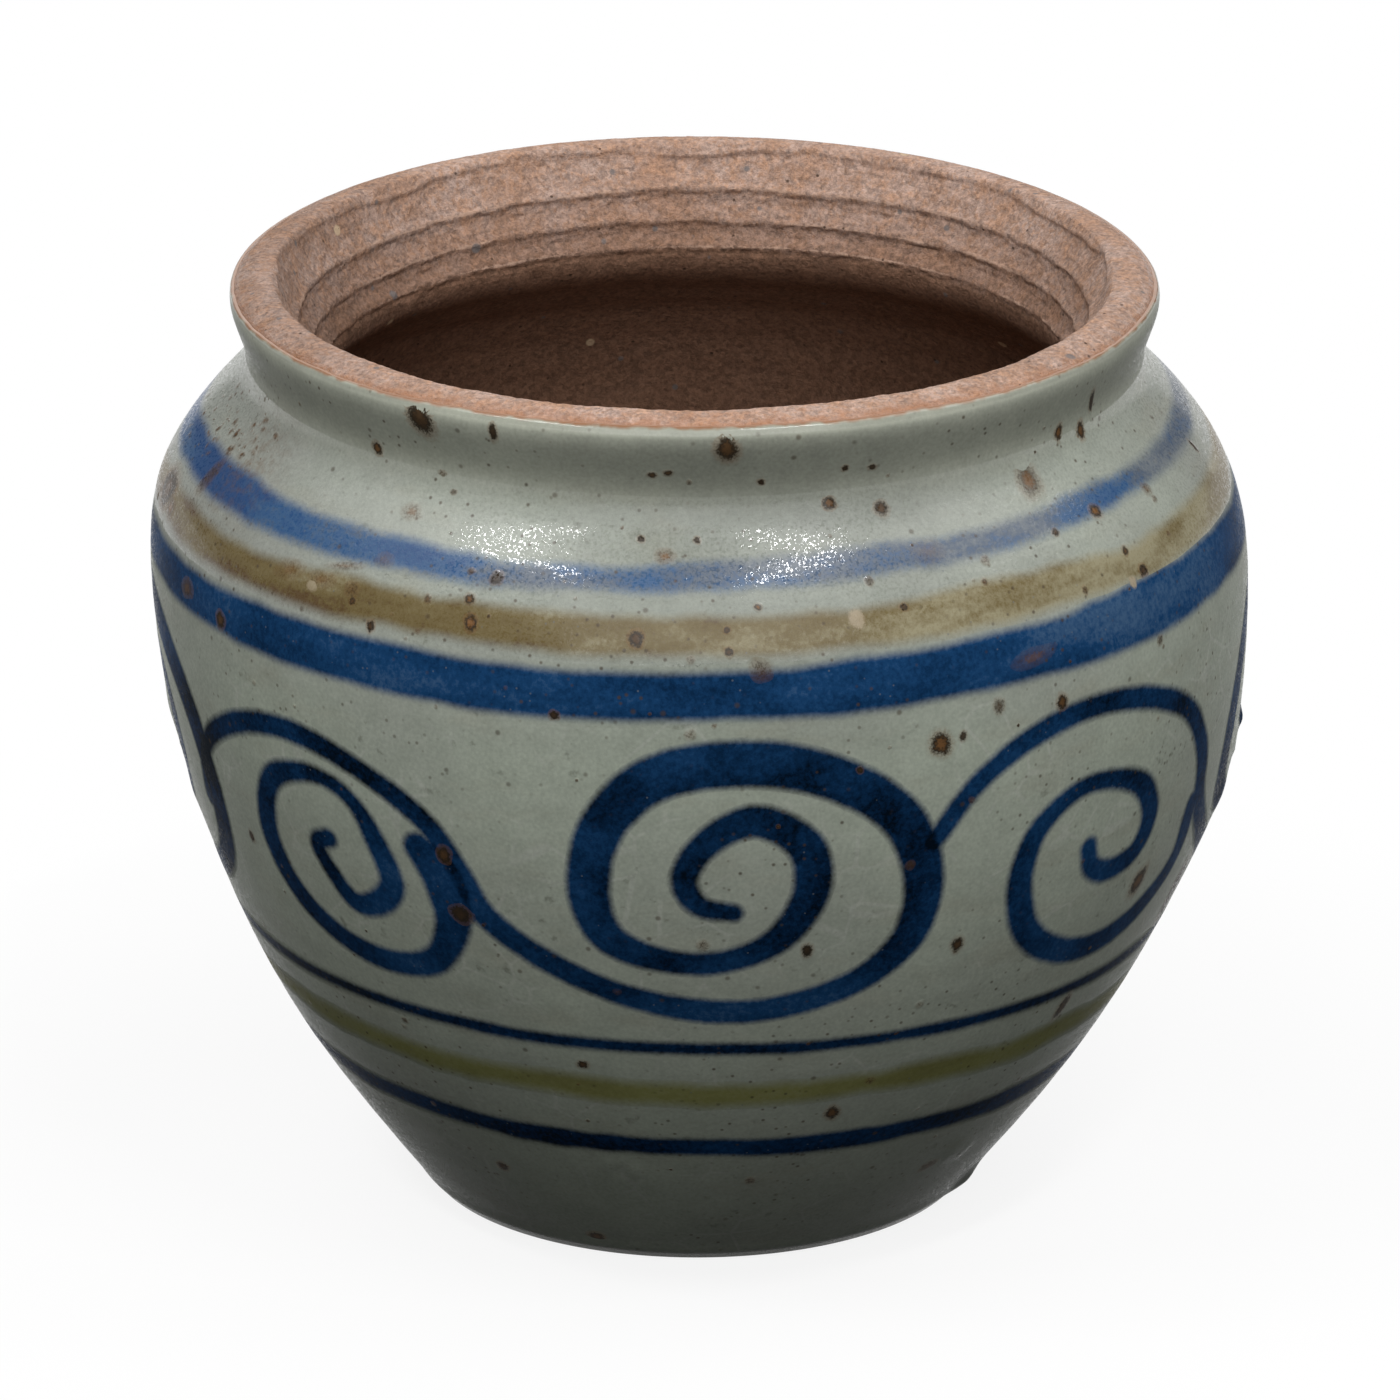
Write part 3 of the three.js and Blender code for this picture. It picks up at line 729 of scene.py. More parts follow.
def revolve(azimuth, radius, height):
    height = np.minimum(height, TOP_LIMIT)
    x = radius * np.sin(azimuth) + lean(height)
    y = -radius * np.cos(azimuth)
    return np.stack(np.broadcast_arrays(x, y, height), axis=-1) * MM


def place(azimuth, height, lift):
    radius, out, up = wall(height)
    lift = lift + swell(azimuth, height)
    return revolve(azimuth, radius + out * lift, height + up * lift)


def glaze_line(azimuth):
    swing = GLAZE_LINE_SWING * np.cos(2 * azimuth)
    return GLAZE_LINE + swing + GLAZE_LINE_JAG * rippled(GLAZE_JAGS, azimuth)


def columns_round(count):
    return np.arange(count) * TURN / count


# Meshes


def add_object(name, data):
    made = bpy.data.objects.new(name, data)
    bpy.context.scene.collection.objects.link(made)
    return made


def make_piece(name, points, faces, corner_uv, values):
    mesh = bpy.data.meshes.new(name)
    mesh.from_pydata(points.tolist(), [], faces)
    mesh.uv_layers.new(name=UV_NAME).data.foreach_set("uv", np.asarray(corner_uv, np.float32).ravel())
    for key, value in values.items():
        layer = mesh.attributes.new(key, "FLOAT", "POINT")
        layer.data.foreach_set("value", np.asarray(value, np.float32).ravel())
    mesh.polygons.foreach_set("use_smooth", np.ones(len(mesh.polygons), bool))
    mesh.set_sharp_from_angle(angle=SHARP_ANGLE)
    mesh.update()
    return add_object(name, mesh)


def ring_piece(name, rings, marks, closed, values):
    # rings is an array of rings by columns by three; marks gives each ring its place up the map
    count, columns = rings.shape[:2]
    row, column = np.indices((count if closed else count - 1, columns)).reshape(2, -1, 1)
    row = row + CORNER_ROWS
    column = column + CORNER_COLUMNS
    faces = (row % count * columns + column % columns).tolist()
    uv = [np.stack([column / columns, marks[row]], axis=-1).reshape(-1, 2)]
    if not closed:
        order = np.arange(columns)
        for ring, cap in ((0, order[::-1]), (count - 1, order)):
            faces.append((ring * columns + cap).tolist())
            uv.append(np.stack([cap / columns, np.full(columns, marks[ring])], axis=1))
    return make_piece(name, rings.reshape(-1, 3), faces, np.concatenate(uv), values)


def length_marks(rings, low, high):
    marks = lengths_along(rings[:, 0])
    return low + (high - low) * marks / marks[-1]


def patch_piece(name, keep, top, bottom, values):
    # keep marks the cells of a grid that closes round the jar; top and bottom are the grid's points
    columns = keep.shape[1]
    used_row, used_column = np.nonzero(keep)
    row = used_row[:, None] + CORNER_ROWS
    column = (used_column[:, None] + CORNER_COLUMNS) % columns
    used, numbers = np.unique(row * columns + column, return_inverse=True)
    quads = numbers.reshape(row.shape)
    total = len(used)
    points = np.concatenate([top.reshape(-1, 3)[used], bottom.reshape(-1, 3)[used]])
    padded = np.pad(keep, ((1, 1), (0, 0)))
    around = (padded[:-2], np.roll(keep, -1, axis=1), padded[2:], np.roll(keep, 1, axis=1))
    sides = []
    for first, neighbour in enumerate(around):
        open_side = ~neighbour[used_row, used_column]
        start = quads[open_side, first]
        end = quads[open_side, (first + 1) % len(around)]
        sides.append(np.stack([end, start, start + total, end + total], axis=1))
    faces = np.concatenate([quads, quads[:, ::-1] + total] + sides)
    # The map shows the front over most of its height and the hidden back in a strip above it
    filled = keep.any(axis=0)
    first_column = 0 if filled.all() else np.flatnonzero(~filled)[-1] + 1
    across = (used % columns - first_column) % columns
    upward = used // columns
    u = across / max(1, across.max())
    v = (upward - upward.min()) / max(1, np.ptp(upward))
    front = np.stack([u, v * MAP_FRONT], axis=1)
    back = np.stack([u, MAP_BACK + v * (1 - MAP_BACK)], axis=1)
    uv = np.concatenate([front, back])[faces.ravel()]
    values = {key: np.tile(value.ravel()[used], 2) for key, value in values.items()}
    return make_piece(name, points, faces.tolist(), uv, values)


def finish_piece(piece, material, slot, *nodes):
    piece.data.materials.append(material)
    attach(piece, "root")
    if nodes:
        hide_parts(*nodes)


def add_second(piece, material, faces):
    piece.data.materials.append(material)
    piece.data.polygons.foreach_set("material_index", faces.astype(np.int32))


# Materials


class Nodes:
    """Short calls for the node tree of one material."""

    def __init__(self, name):
        self.material = bpy.data.materials.new(name)
        self.material.use_nodes = True
        self.tree = self.material.node_tree
        self.tree.nodes.clear()
        self.place = self.add("ShaderNodeTexCoord").outputs["Object"]
        parts = self.add("ShaderNodeSeparateXYZ", {0: self.place})
        self.x = self.math("DIVIDE", parts.outputs["X"], MM)
        self.z = self.math("DIVIDE", parts.outputs["Z"], MM)

    def add(self, kind, sockets=None, **settings):
        made = self.tree.nodes.new(kind)
        for key, value in settings.items():
            setattr(made, key, value)
        for key, value in (sockets or {}).items():
            if isinstance(value, bpy.types.NodeSocket):
                self.tree.links.new(value, made.inputs[key])
            elif isinstance(value, tuple) and made.inputs[key].type == "RGBA":
                made.inputs[key].default_value = (*value, 1)
            else:
                made.inputs[key].default_value = value
        return made

    def math(self, operation, first, second=0.0, clamp=False):
        made = self.add("ShaderNodeMath", {0: first, 1: second}, operation=operation, use_clamp=clamp)
        return made.outputs[0]

    def times(self, first, *others):
        for other in others:
            first = self.math("MULTIPLY", first, other)
        return first

    def plus(self, first, second):
        return self.math("ADD", first, second)

    def most(self, first, second):
        return self.math("MAXIMUM", first, second)

    def vector(self, operation, first, second=(0, 0, 0)):
        return self.add("ShaderNodeVectorMath", {0: first, 1: second}, operation=operation).outputs

    def stretched(self, stretch):
        return self.vector("MULTIPLY", self.place, stretch)[0] if stretch else self.place

    def noise(self, size, detail=2.0, roughness=0.5, stretch=None, shift=None):
        # size is the width of one swell in millimetres
        place_of = self.stretched(stretch)
        if shift:
            place_of = self.vector("ADD", place_of, shift)[0]
        sockets = {"Vector": place_of, "Scale": 1 / (size * MM), "Detail": detail, "Roughness": roughness}
        return self.add("ShaderNodeTexNoise", sockets).outputs["Fac"]

    def field(self, key):
        return self.noise(*FIELDS[key])

    def spread(self, key):
        field, ends = SPREADS[key]
        return self.smooth(self.noise(*field), *ends)

    def cells(self, size, stretch=None, **settings):
        sockets = {"Vector": self.stretched(stretch), "Scale": 1 / (size * MM)}
        return self.add("ShaderNodeTexVoronoi", sockets, **settings).outputs

    def dots(self, key):
        size, stretch, *ends = DOTS[key]
        return self.smooth(self.cells(size, stretch)["Distance"], *ends)

    def smooth(self, value, low, high, to_low=0.0, to_high=1.0):
        sockets = {"Value": value, "From Min": low, "From Max": high, "To Min": to_low, "To Max": to_high}
        return self.add("ShaderNodeMapRange", sockets, interpolation_type="SMOOTHSTEP").outputs[0]

    def ranged(self, value, key):
        return self.smooth(value, *RANGES[key])

    def at_height(self, key):
        return self.ranged(self.z, key)

    def mix(self, share, first, second, blend="MIX"):
        sockets = {MIX_SHARE: share, MIX_FIRST: first, MIX_SECOND: second}
        return self.add("ShaderNodeMix", sockets, data_type="RGBA", blend_type=blend).outputs[MIX_COLOUR]

    def shaded(self, colour, *shades):
        shade = self.times(*shades)
        grey = self.add("ShaderNodeCombineColor", {0: shade, 1: shade, 2: shade}).outputs[0]
        return self.mix(1.0, colour, grey, "MULTIPLY")

    def ramp(self, value, stops):
        made = self.add("ShaderNodeValToRGB", {"Fac": value})
        elements = made.color_ramp.elements
        while len(elements) < len(stops):
            elements.new(RAMP_MIDDLE)
        for element, (position, colour) in zip(elements, stops):
            element.position = position
            element.color = (*colour, 1)
        return made.outputs["Color"]

    def of_mesh(self, name):
        return self.add("ShaderNodeAttribute", None, attribute_name=name).outputs["Fac"]

    def near(self, point, reach, far_value=0.0, near_value=1.0):
        apart = self.vector("DISTANCE", self.place, tuple(value * MM for value in point))["Value"]
        return self.smooth(apart, reach * MM, 0.0, far_value, near_value)

    def bump(self, height, depth, normal=None):
        sockets = {"Height": height, "Strength": 1.0, "Distance": depth * MM}
        if normal:
            sockets["Normal"] = normal
        return self.add("ShaderNodeBump", sockets).outputs["Normal"]

    def surface(self, colour, roughness, normal, shine):
        sockets = {"Base Color": colour, "Roughness": roughness, "Normal": normal}
        shader = self.add("ShaderNodeBsdfPrincipled", {**sockets, "Specular IOR Level": shine})
        self.add("ShaderNodeOutputMaterial", {"Surface": shader.outputs[0]})
        return self.material


def glaze_base(nodes):
    tone = nodes.plus(nodes.at_height("shoulder"), nodes.spread("cloud"))
    colour = nodes.mix(tone, GLAZE_DEEP, GLAZE_PALE)
    colour = nodes.mix(nodes.spread("drift"), colour, GLAZE_WARM)
    crack = nodes.ranged(nodes.cells(CRACK_SIZE, feature="DISTANCE_TO_EDGE")["Distance"], "crack")
    crack = nodes.times(crack, nodes.spread("crack_place"), nodes.at_height("crack_height"))
    colour = nodes.mix(crack, colour, GLAZE_CRACK)
    smudge = nodes.times(nodes.spread("smudge"), nodes.spread("smudge_place"))
    colour = nodes.mix(smudge, colour, GLAZE_SMUDGE)
    colour = nodes.mix(nodes.at_height("neck"), colour, GLAZE_NECK)
    # Painted shade: the front of the shoulder is darkened
    front_painted_shade = nodes.near(PAINTED_SHADE_FRONT, PAINTED_SHADE_REACH, 1.0, 1 - PAINTED_SHADE_DEPTH)
    # Painted shade: the glaze is darker towards the foot
    low = nodes.at_height("foot")
    return nodes.shaded(colour, nodes.spread("glaze_grain"), low, front_painted_shade, nodes.spread("glaze_mottle"))


def add_specks(nodes, colour):
    crowd = nodes.plus(nodes.field("crowd"), nodes.at_height("crowd_height"))
    tiny = nodes.times(nodes.dots("tiny"), nodes.ranged(crowd, "crowd"))
    brown = nodes.mix(nodes.field("speck_hue"), SPECK_DARK, SPECK_BROWN)
    colour = nodes.mix(nodes.most(tiny, nodes.dots("small")), colour, brown)
    patch = nodes.times(nodes.near(BROWN_PATCH, BROWN_PATCH_REACH), nodes.spread("patch_mottle"))
    return nodes.mix(patch, colour, PATCH_BROWN)


def glaze_surface(nodes, colour, shine, gloss=1.0):
    normal = None
    for key, depth in GLAZE_RELIEF:
        normal = nodes.bump(nodes.field(key), depth, normal)
    normal = nodes.bump(nodes.dots("dimples"), DIMPLE_DEPTH, normal)
    roughness = nodes.times(nodes.ranged(nodes.spread("clear"), "rough"), gloss)
    return nodes.surface(colour, roughness, normal, shine)


def glaze_material(name, shine):
    nodes = Nodes(name)
    colour = add_specks(nodes, glaze_base(nodes))
    line = nodes.of_mesh(LINE_NAME)
    jagged = nodes.plus(line, nodes.spread("lip_jag"))
    colour = nodes.mix(nodes.ranged(jagged, "edge_pale"), colour, GLAZE_EDGE)
    colour = nodes.mix(nodes.ranged(jagged, "edge_orange"), colour, EDGE_ORANGE)
    return glaze_surface(nodes, colour, shine, nodes.ranged(line, "edge_gloss"))


def painted(nodes, under, paint, edge_name, load_name):
    stops, soft_low, soft_high, thin, thick, streak, strength, shine = PAINTS[paint]
    edge = nodes.plus(nodes.of_mesh(edge_name), nodes.spread("feather"))
    cover = nodes.smooth(edge, soft_low, soft_high, 0.0, strength)
    depth = nodes.smooth(nodes.noise(*BRUSH_NOISE, streak), *BRUSH_RANGE, thin, thick)
    depth = nodes.plus(depth, nodes.spread("paint_mottle"))
    load = nodes.math("SUBTRACT", nodes.of_mesh(load_name), 1.0)
    depth = nodes.plus(depth, nodes.times(load, LOAD_WEIGHT))
    return nodes.mix(cover, under, nodes.ramp(depth, stops))


def painted_material(paint):
    nodes = Nodes(paint + "_paint")
    colour = painted(nodes, glaze_base(nodes), paint, EDGE_NAME, LOAD_NAME)
    # Painted glints: pale dots over the paint
    colour = nodes.mix(nodes.dots("painted_glints"), colour, PAINTED_GLINT_PALE)
    return glaze_surface(nodes, add_specks(nodes, colour), PAINTS[paint][-1])


def spot_material(name, shine):
    # A spot shows what lies under it at its rim, so the glaze and every paint are laid first
    nodes = Nodes(name)
    under = glaze_base(nodes)
    for paint in PAINTS:
        under = painted(nodes, under, paint, EDGE_NAME + paint, LOAD_NAME + paint)
    under = add_specks(nodes, under)
    depth = nodes.of_mesh(SPOT_NAME)
    warmth = nodes.of_mesh(WARM_NAME)
    strength = nodes.of_mesh(STRENGTH_NAME)
    faint = nodes.ranged(strength, "faint")
    grain = nodes.field("spot_grain")
    ragged = nodes.times(nodes.ranged(grain, "ragged"), nodes.ranged(depth, "ragged_rim"))
    depth = nodes.plus(depth, ragged)
    crumbs = nodes.most(nodes.ranged(grain, "crumbs"), nodes.ranged(faint, "crumbs_whole"))
    rust = nodes.mix(nodes.field("rust_hue"), SPOT_RUST_DARK, SPOT_RUST_LIGHT)
    dark = nodes.mix(nodes.field("dark_hue"), SPOT_BLACK, SPOT_BROWN)
    colour = nodes.mix(nodes.times(nodes.ranged(depth, "halo"), strength), under, rust)
    core_low = nodes.ranged(faint, "core_low")
    core_high = nodes.ranged(faint, "core_high")
    core = nodes.smooth(depth, core_low, core_high, 0.0, CORE_COVER)
    core = nodes.times(core, crumbs, nodes.ranged(strength, "core_strength"))
    colour = nodes.mix(core, colour, dark)
    heart = nodes.times(nodes.ranged(depth, "heart"), warmth)
    heart = nodes.math("MULTIPLY", heart, strength, clamp=True)
    colour = nodes.mix(heart, colour, rust)
    pale = nodes.mix(nodes.times(nodes.ranged(depth, "pale"), strength), under, PALE_GROG)
    return glaze_surface(nodes, nodes.mix(nodes.ranged(warmth, "is_pale"), colour, pale), shine)


def clay_material():
    nodes = Nodes("bare_clay")
    fields = {key: nodes.field(key) for key in ("clay_cloud", "hue", "grain", "lines", "tint")}
    fields["sand"] = nodes.add("ShaderNodeSeparateColor", {0: nodes.cells(SAND_SIZE)["Color"]}).outputs[0]
    fields["pit"] = nodes.dots("pit")
    colour = CLAY_DARK
    for key, low, high, cover, tint in CLAY_TINTS:
        colour = nodes.mix(nodes.smooth(fields[key], low, high, 0.0, cover), colour, tint)
    # Painted shade: the throat and lining darken downwards
    lining = nodes.most(nodes.at_height("lining"), nodes.at_height("deep_lining_painted_shade"))
    colour = nodes.mix(nodes.times(lining, nodes.at_height("above_foot")), colour, CLAY_PAINTED_SHADE)
    sandy = nodes.ranged(fields["sand"], "sand_shade")
    colour = nodes.shaded(colour, nodes.plus(nodes.ranged(fields["grain"], "grain_shade"), sandy))
    # Painted highlight on each ledge and painted shade in the groove below it
    ledge = nodes.plus(nodes.of_mesh(PAINTED_LEDGE_LIGHT_NAME), nodes.spread("ledge_jag"))
    colour = nodes.mix(nodes.ranged(ledge, "ledge_painted_highlight"), colour, CLAY_PAINTED_HIGHLIGHT)
    colour = nodes.mix(nodes.ranged(ledge, "ledge_painted_shade"), colour, CLAY_PIT_AND_PAINTED_SHADE)
    line = nodes.of_mesh(LINE_NAME)
    rust = nodes.ranged(nodes.plus(line, nodes.spread("rust_jag")), "rust")
    colour = nodes.mix(rust, colour, CLAY_RUST)
    # Painted shade: the clay is darker towards the left and right sides
    colour = nodes.shaded(colour, nodes.ranged(nodes.x, "left_painted_shade"), nodes.ranged(nodes.x, "right_painted_shade"))
    out = nodes.vector("LENGTH", nodes.stretched((1, 1, 0)))["Value"]
    washed = nodes.times(nodes.ranged(out, "foot_out"), nodes.at_height("foot_up"))
    colour = nodes.mix(washed, colour, FOOT_WASH)
    for key, tint in CLAY_DOTS:
        colour = nodes.mix(nodes.dots(key), colour, tint)
    colour = nodes.mix(nodes.times(fields["pit"], PIT_SHADE), colour, CLAY_PIT_AND_PAINTED_SHADE)
    normal = None
    for key, depth in CLAY_RELIEF:
        normal = nodes.bump(fields[key], depth, normal)
    rough = nodes.times(nodes.ranged(fields["grain"], "clay_rough"), nodes.ranged(line, "clay_gloss"))
    return nodes.surface(colour, rough, normal, CLAY_SHINE)


# Clay pot


def throat_rings():
    curves = (UPPER_LINING_CURVE, LOWER_LINING_CURVE, FLOOR_TURN_CURVE)
    lining = [evenly(curve_points(curve, CURVE_STEPS), step) for curve, step in zip(curves, LINING_STEPS)]
    throat = evenly(evenly(np.array(THROAT_LINE, float), THROAT_FINE), THROAT_STEP)
    return joined(throat, *lining, evenly(np.array(FLOOR_LINE, float), FLOOR_STEP))


def clay_wall(azimuth):
    # Rings of the outer wall, and how far each point lies below the edge of the glaze
    heights = rows_of(CLAY_ROWS)
    below = glaze_line(azimuth) - heights
    sunk = smoothstep(SEAT_LOW, SEAT_FULL, heights) - smoothstep(*SEAT_END, -below)
    climbed = np.interp(heights, OUTER_LINE[:, 1], lengths_along(OUTER_LINE))
    grit = rippled(LIP_GRIT, azimuth, climbed) * smoothstep(*LIP_GRIT_RISE, heights)
    step = LIP_STEP * between(LIP_STEP_FADES, heights)
    return place(azimuth, heights, grit - SEAT_DEPTH * sunk - step), below


def clay_throat(azimuth):
    # Rings of the throat, lining and floor, and where light (1) or shade (-1) is painted on the ledges
    line = throat_rings()
    out, up = line_normals(line)[:, :, None].transpose(1, 0, 2)
    travelled = lengths_along(line)[:, None]
    radius, height = line[:, :, None].transpose(1, 0, 2)
    past_skin = travelled - SKIN_END - rippled(SKIN_WANDER, azimuth)
    skin = SKIN_DEPTH * (1 - smoothstep(*SKIN_FADE, past_skin))
    skin = skin + hump(past_skin, *SKIN_BEAD)
    skin = skin * (SKIN_PLAIN + rippled(SKIN_UNEVEN, azimuth)) * smoothstep(*SKIN_START, travelled)
    torn = GRIT_FINE + GRIT_TORN * between(TORN_FADES, height)
    grit = torn * rippled(THROAT_GRIT, azimuth, travelled) + rippled(THROAT_LUMPS, azimuth, travelled)
    grit = grit * (1 - smoothstep(*GRIT_END, travelled))
    thrown = THROW_RISE * np.sin(TURN * height / THROW_PITCH + THROW_SWING * np.sin(azimuth + THROW_TURN))
    push = skin + grit + thrown * between(THROW_FADES, height)
    tilt = LEDGE_TILT * np.sin(azimuth) * between(LEDGE_TILT_FADES, height)
    wander = rippled(LEDGE_WANDER, azimuth, height) * between(LEDGE_WANDER_FADES, height)
    # Painted highlight on each ledge and painted shade in the groove below it
    ledge = 0
    for mark in LEDGES:
        shade = hump(height, 1, mark - LEDGE_GROOVE, LEDGE_REACH)
        ledge = ledge + hump(height, 1, mark, LEDGE_REACH) - shade
    ledge = ledge * (LEDGE_PLAIN + rippled(LEDGE_PAINT_UNEVEN, azimuth, height))
    return revolve(azimuth, radius + out * push, height + up * push + tilt + wander), ledge


def clay_piece(material):
    azimuth = columns_round(CLAY_COLUMNS)
    foot = np.array(FOOT_LINE, float)
    wall_rings, below = clay_wall(azimuth)
    throat, ledge = clay_throat(azimuth)
    rings = np.concatenate([revolve(azimuth, foot[:, :1], foot[:, 1:]), wall_rings, throat])
    # Painted light and shade of the ledges, on the throat's rings only
    painted_ledge_light = np.zeros(rings.shape[:2])
    painted_ledge_light[-len(throat):] = ledge
    lines = np.full(rings.shape[:2], FAR_FROM_LINE)
    lines[len(foot):-len(throat)] = below
    values = {LINE_NAME: lines, PAINTED_LEDGE_LIGHT_NAME: painted_ledge_light}
    piece = ring_piece("clay_pot", rings, length_marks(rings, 0.0, 1.0), False, values)
    finish_piece(piece, material, "stoneware", "stoneware_body")


# Glaze


def glaze_piece(upper, lower):
    azimuth = columns_round(GLAZE_COLUMNS)
    heights = rows_of(GLAZE_ROWS)
    above = heights - glaze_line(azimuth)
    lift = hump(heights, *FOOT_BEAD)
    lift = lift - GLAZE_TUCK * (1 - smoothstep(GLAZE_START, GLAZE_FULL, heights))
    lift = lift + hump(above, *EDGE_ROLL)
    lift = lift - GLAZE_TUCK * smoothstep(*LIP_TUCK, above)
    outside = place(azimuth, heights, lift)
    back_heights = rows_of(GLAZE_BACK_ROWS)
    inside = place(azimuth, back_heights, -GLAZE_INSIDE)
    back_marks = np.linspace(MAP_BACK, MAP_GLAZE_END, len(inside))
    marks = np.concatenate([length_marks(outside, 0.0, MAP_FRONT), back_marks, [1.0]])
    every = np.concatenate([heights, back_heights])
    values = {LINE_NAME: glaze_line(azimuth) - every}
    piece = ring_piece("glaze_skin", np.concatenate([outside, inside]), marks, True, values)
    finish_piece(piece, upper, "glaze", "glaze_coat")
    low = (every < SEAM_HEIGHT) | ((every > NECK_SEAM) & (every < EDGE_SEAM))
    add_second(piece, lower, np.repeat(low, GLAZE_COLUMNS))


# Bands


def band_marks(name, azimuth):
    marks = np.array(BAND_MARKS.get(name, PLAIN_MARKS), float)
    degrees = (azimuth / DEGREE - MARKS_START) % (2 * HALF_TURN) + MARKS_START
    return [np.interp(degrees, marks[:, 0], values) for values in marks.T[1:]]


def band_edges(index, azimuth):
    # Middle height of a band and its reach upwards and downwards
    name, node, low, high, tilt, wander, paint = BANDS[index]
    load, extra, drift = band_marks(name, azimuth)
    centre = (low + high) / 2 + tilt * np.sin(azimuth) + drift + rippled(BAND_SWAY, azimuth, shift=index)
    half = (high - low) / 2 + extra
    upper = half + wander * rippled(UPPER_WANDER, azimuth, shift=index)
    lower = half + wander * rippled(LOWER_WANDER, azimuth, shift=index)
    return centre, upper, lower


def band_depth(index, azimuth, heights):
    # How far a place lies inside a band, in millimetres
    centre, upper, lower = band_edges(index, azimuth)
    slope = np.maximum(wall(heights)[1], SLOPE_LEAST)
    return np.minimum(centre + upper - heights, heights - centre + lower) / slope


def band_load(index, azimuth):
    return band_marks(BANDS[index][0], azimuth)[0] + rippled(BAND_PATCHES, azimuth, shift=index)


def paint_lift(edge, rim, lift):
    return -PAINT_SINK + (lift + PAINT_SINK) * smoothstep(-rim, PAINT_FULL, edge)


def band_piece(index, material, slot):
    name, node, low, high, tilt, wander, paint = BANDS[index]
    azimuth = columns_round(BAND_COLUMNS)
    centre, upper, lower = band_edges(index, azimuth)
    reach = max(upper.max(), lower.max()) + BAND_RIM
    rows = max(BAND_ROWS_LEAST, int(round(2 * reach / BAND_STEP)))
    heights = centre + np.linspace(-reach, reach, rows)[:, None]
    edge = band_depth(index, azimuth, heights)
    top = place(azimuth, heights, paint_lift(edge, BAND_RIM, BAND_LIFT))
    back = place(azimuth, centre + reach * BACK_SHARE * np.array([[1], [-1]]), -PAINT_BACK)
    marks = np.concatenate([np.linspace(0, MAP_FRONT, rows), [MAP_BACK, MAP_BAND_END, 1.0]])
    hidden = np.full((len(back), BAND_COLUMNS), -EDGE_LIMIT)
    edge = np.clip(np.concatenate([edge, hidden]), -EDGE_LIMIT, EDGE_LIMIT)
    values = {EDGE_NAME: edge, LOAD_NAME: band_load(index, azimuth) + 0 * edge}
    piece = ring_piece(name, np.concatenate([top, back]), marks, True, values)
    finish_piece(piece, material, slot, node)


# Frieze


def smooth_path(points):
    # A smooth line through azimuth, height and width, at even steps
    points = np.array(points, float)
    points[:, 0] *= DEGREE * STROKE_RADIUS
    spans = np.linalg.norm(np.diff(points[:, :2], axis=0), axis=1)
    knots = np.concatenate([[0], np.cumsum(np.sqrt(spans))])
    slopes = np.gradient(points, knots, axis=0)
    fine = np.linspace(0, knots[-1], len(points) * PATH_STEPS)
    index = np.clip(np.searchsorted(knots, fine, side="right") - 1, 0, len(knots) - 2)
    span = (knots[index + 1] - knots[index])[:, None]
    share = (fine[:, None] - knots[index][:, None]) / span
    first = points[index] * (1 + 2 * share) * (1 - share) ** 2
    second = points[index + 1] * share ** 2 * (3 - 2 * share)
    leave = slopes[index] * span * share * (1 - share) ** 2
    arrive = slopes[index + 1] * span * share ** 2 * (share - 1)
    line = evenly(first + second + leave + arrive, STROKE_SAMPLE)
    line[:, 0] /= STROKE_RADIUS
    return line


def turned(points, degrees):
    return tuple((azimuth + degrees, height, width) for azimuth, height, width in points)


def stroke_field(points):
    # How far each point of the grid lies inside the brush stroke, in millimetres
    field = np.full((FRIEZE_ROWS, FRIEZE_COLUMNS), -EDGE_LIMIT)
    step = TURN / FRIEZE_COLUMNS
    for azimuth, height, width in smooth_path(points):
        radius, out, up = wall(height)
        reach = width / 2 + EDGE_LIMIT
        side = int(math.ceil(reach / (radius * step)))
        middle = int(round(azimuth / step))
        low = max(0, int((height - reach - FRIEZE_LOW) / FRIEZE_STEP))
        high = min(FRIEZE_ROWS, int((height + reach - FRIEZE_LOW) / FRIEZE_STEP) + 2)
        offsets = np.arange(-side, side + 1)
        across = (middle + offsets) * step - azimuth
        upward = (FRIEZE_LOW + np.arange(low, high) * FRIEZE_STEP - height) / out
        inside = width / 2 - np.hypot(across[None, :] * radius, upward[:, None])
        columns = (middle + offsets) % FRIEZE_COLUMNS
        window = np.ix_(np.arange(low, high), columns)
        field[window] = np.maximum(field[window], inside)
    return field


def frieze_strokes():
    # Name, node, path and lift of each brush stroke
    waves = []
    curls = []
    for half in range(2):
        turn = FRIEZE_TURN + half * HALF_TURN
        waves.append(turned(WAVE_FIRST + WAVE_RING, turn))
        waves.append(turned(WAVE_SECOND + turned(WAVE_RING, UNIT_TURN), turn))
        curls.append(turned(CURL_FIRST, turn))
        curls.append(turned(CURL_SECOND, turn))
    strokes = []
    for kind, paths, lifts in (("wave", waves, WAVE_LIFTS), ("curl", curls, CURL_LIFTS)):
        for index, points in enumerate(paths):
            names = ["%s_%s_%d" % (kind, word, index + 1) for word in ("brush", "stroke")]
            strokes.append((*names, points, lifts[index % 2]))
    return strokes


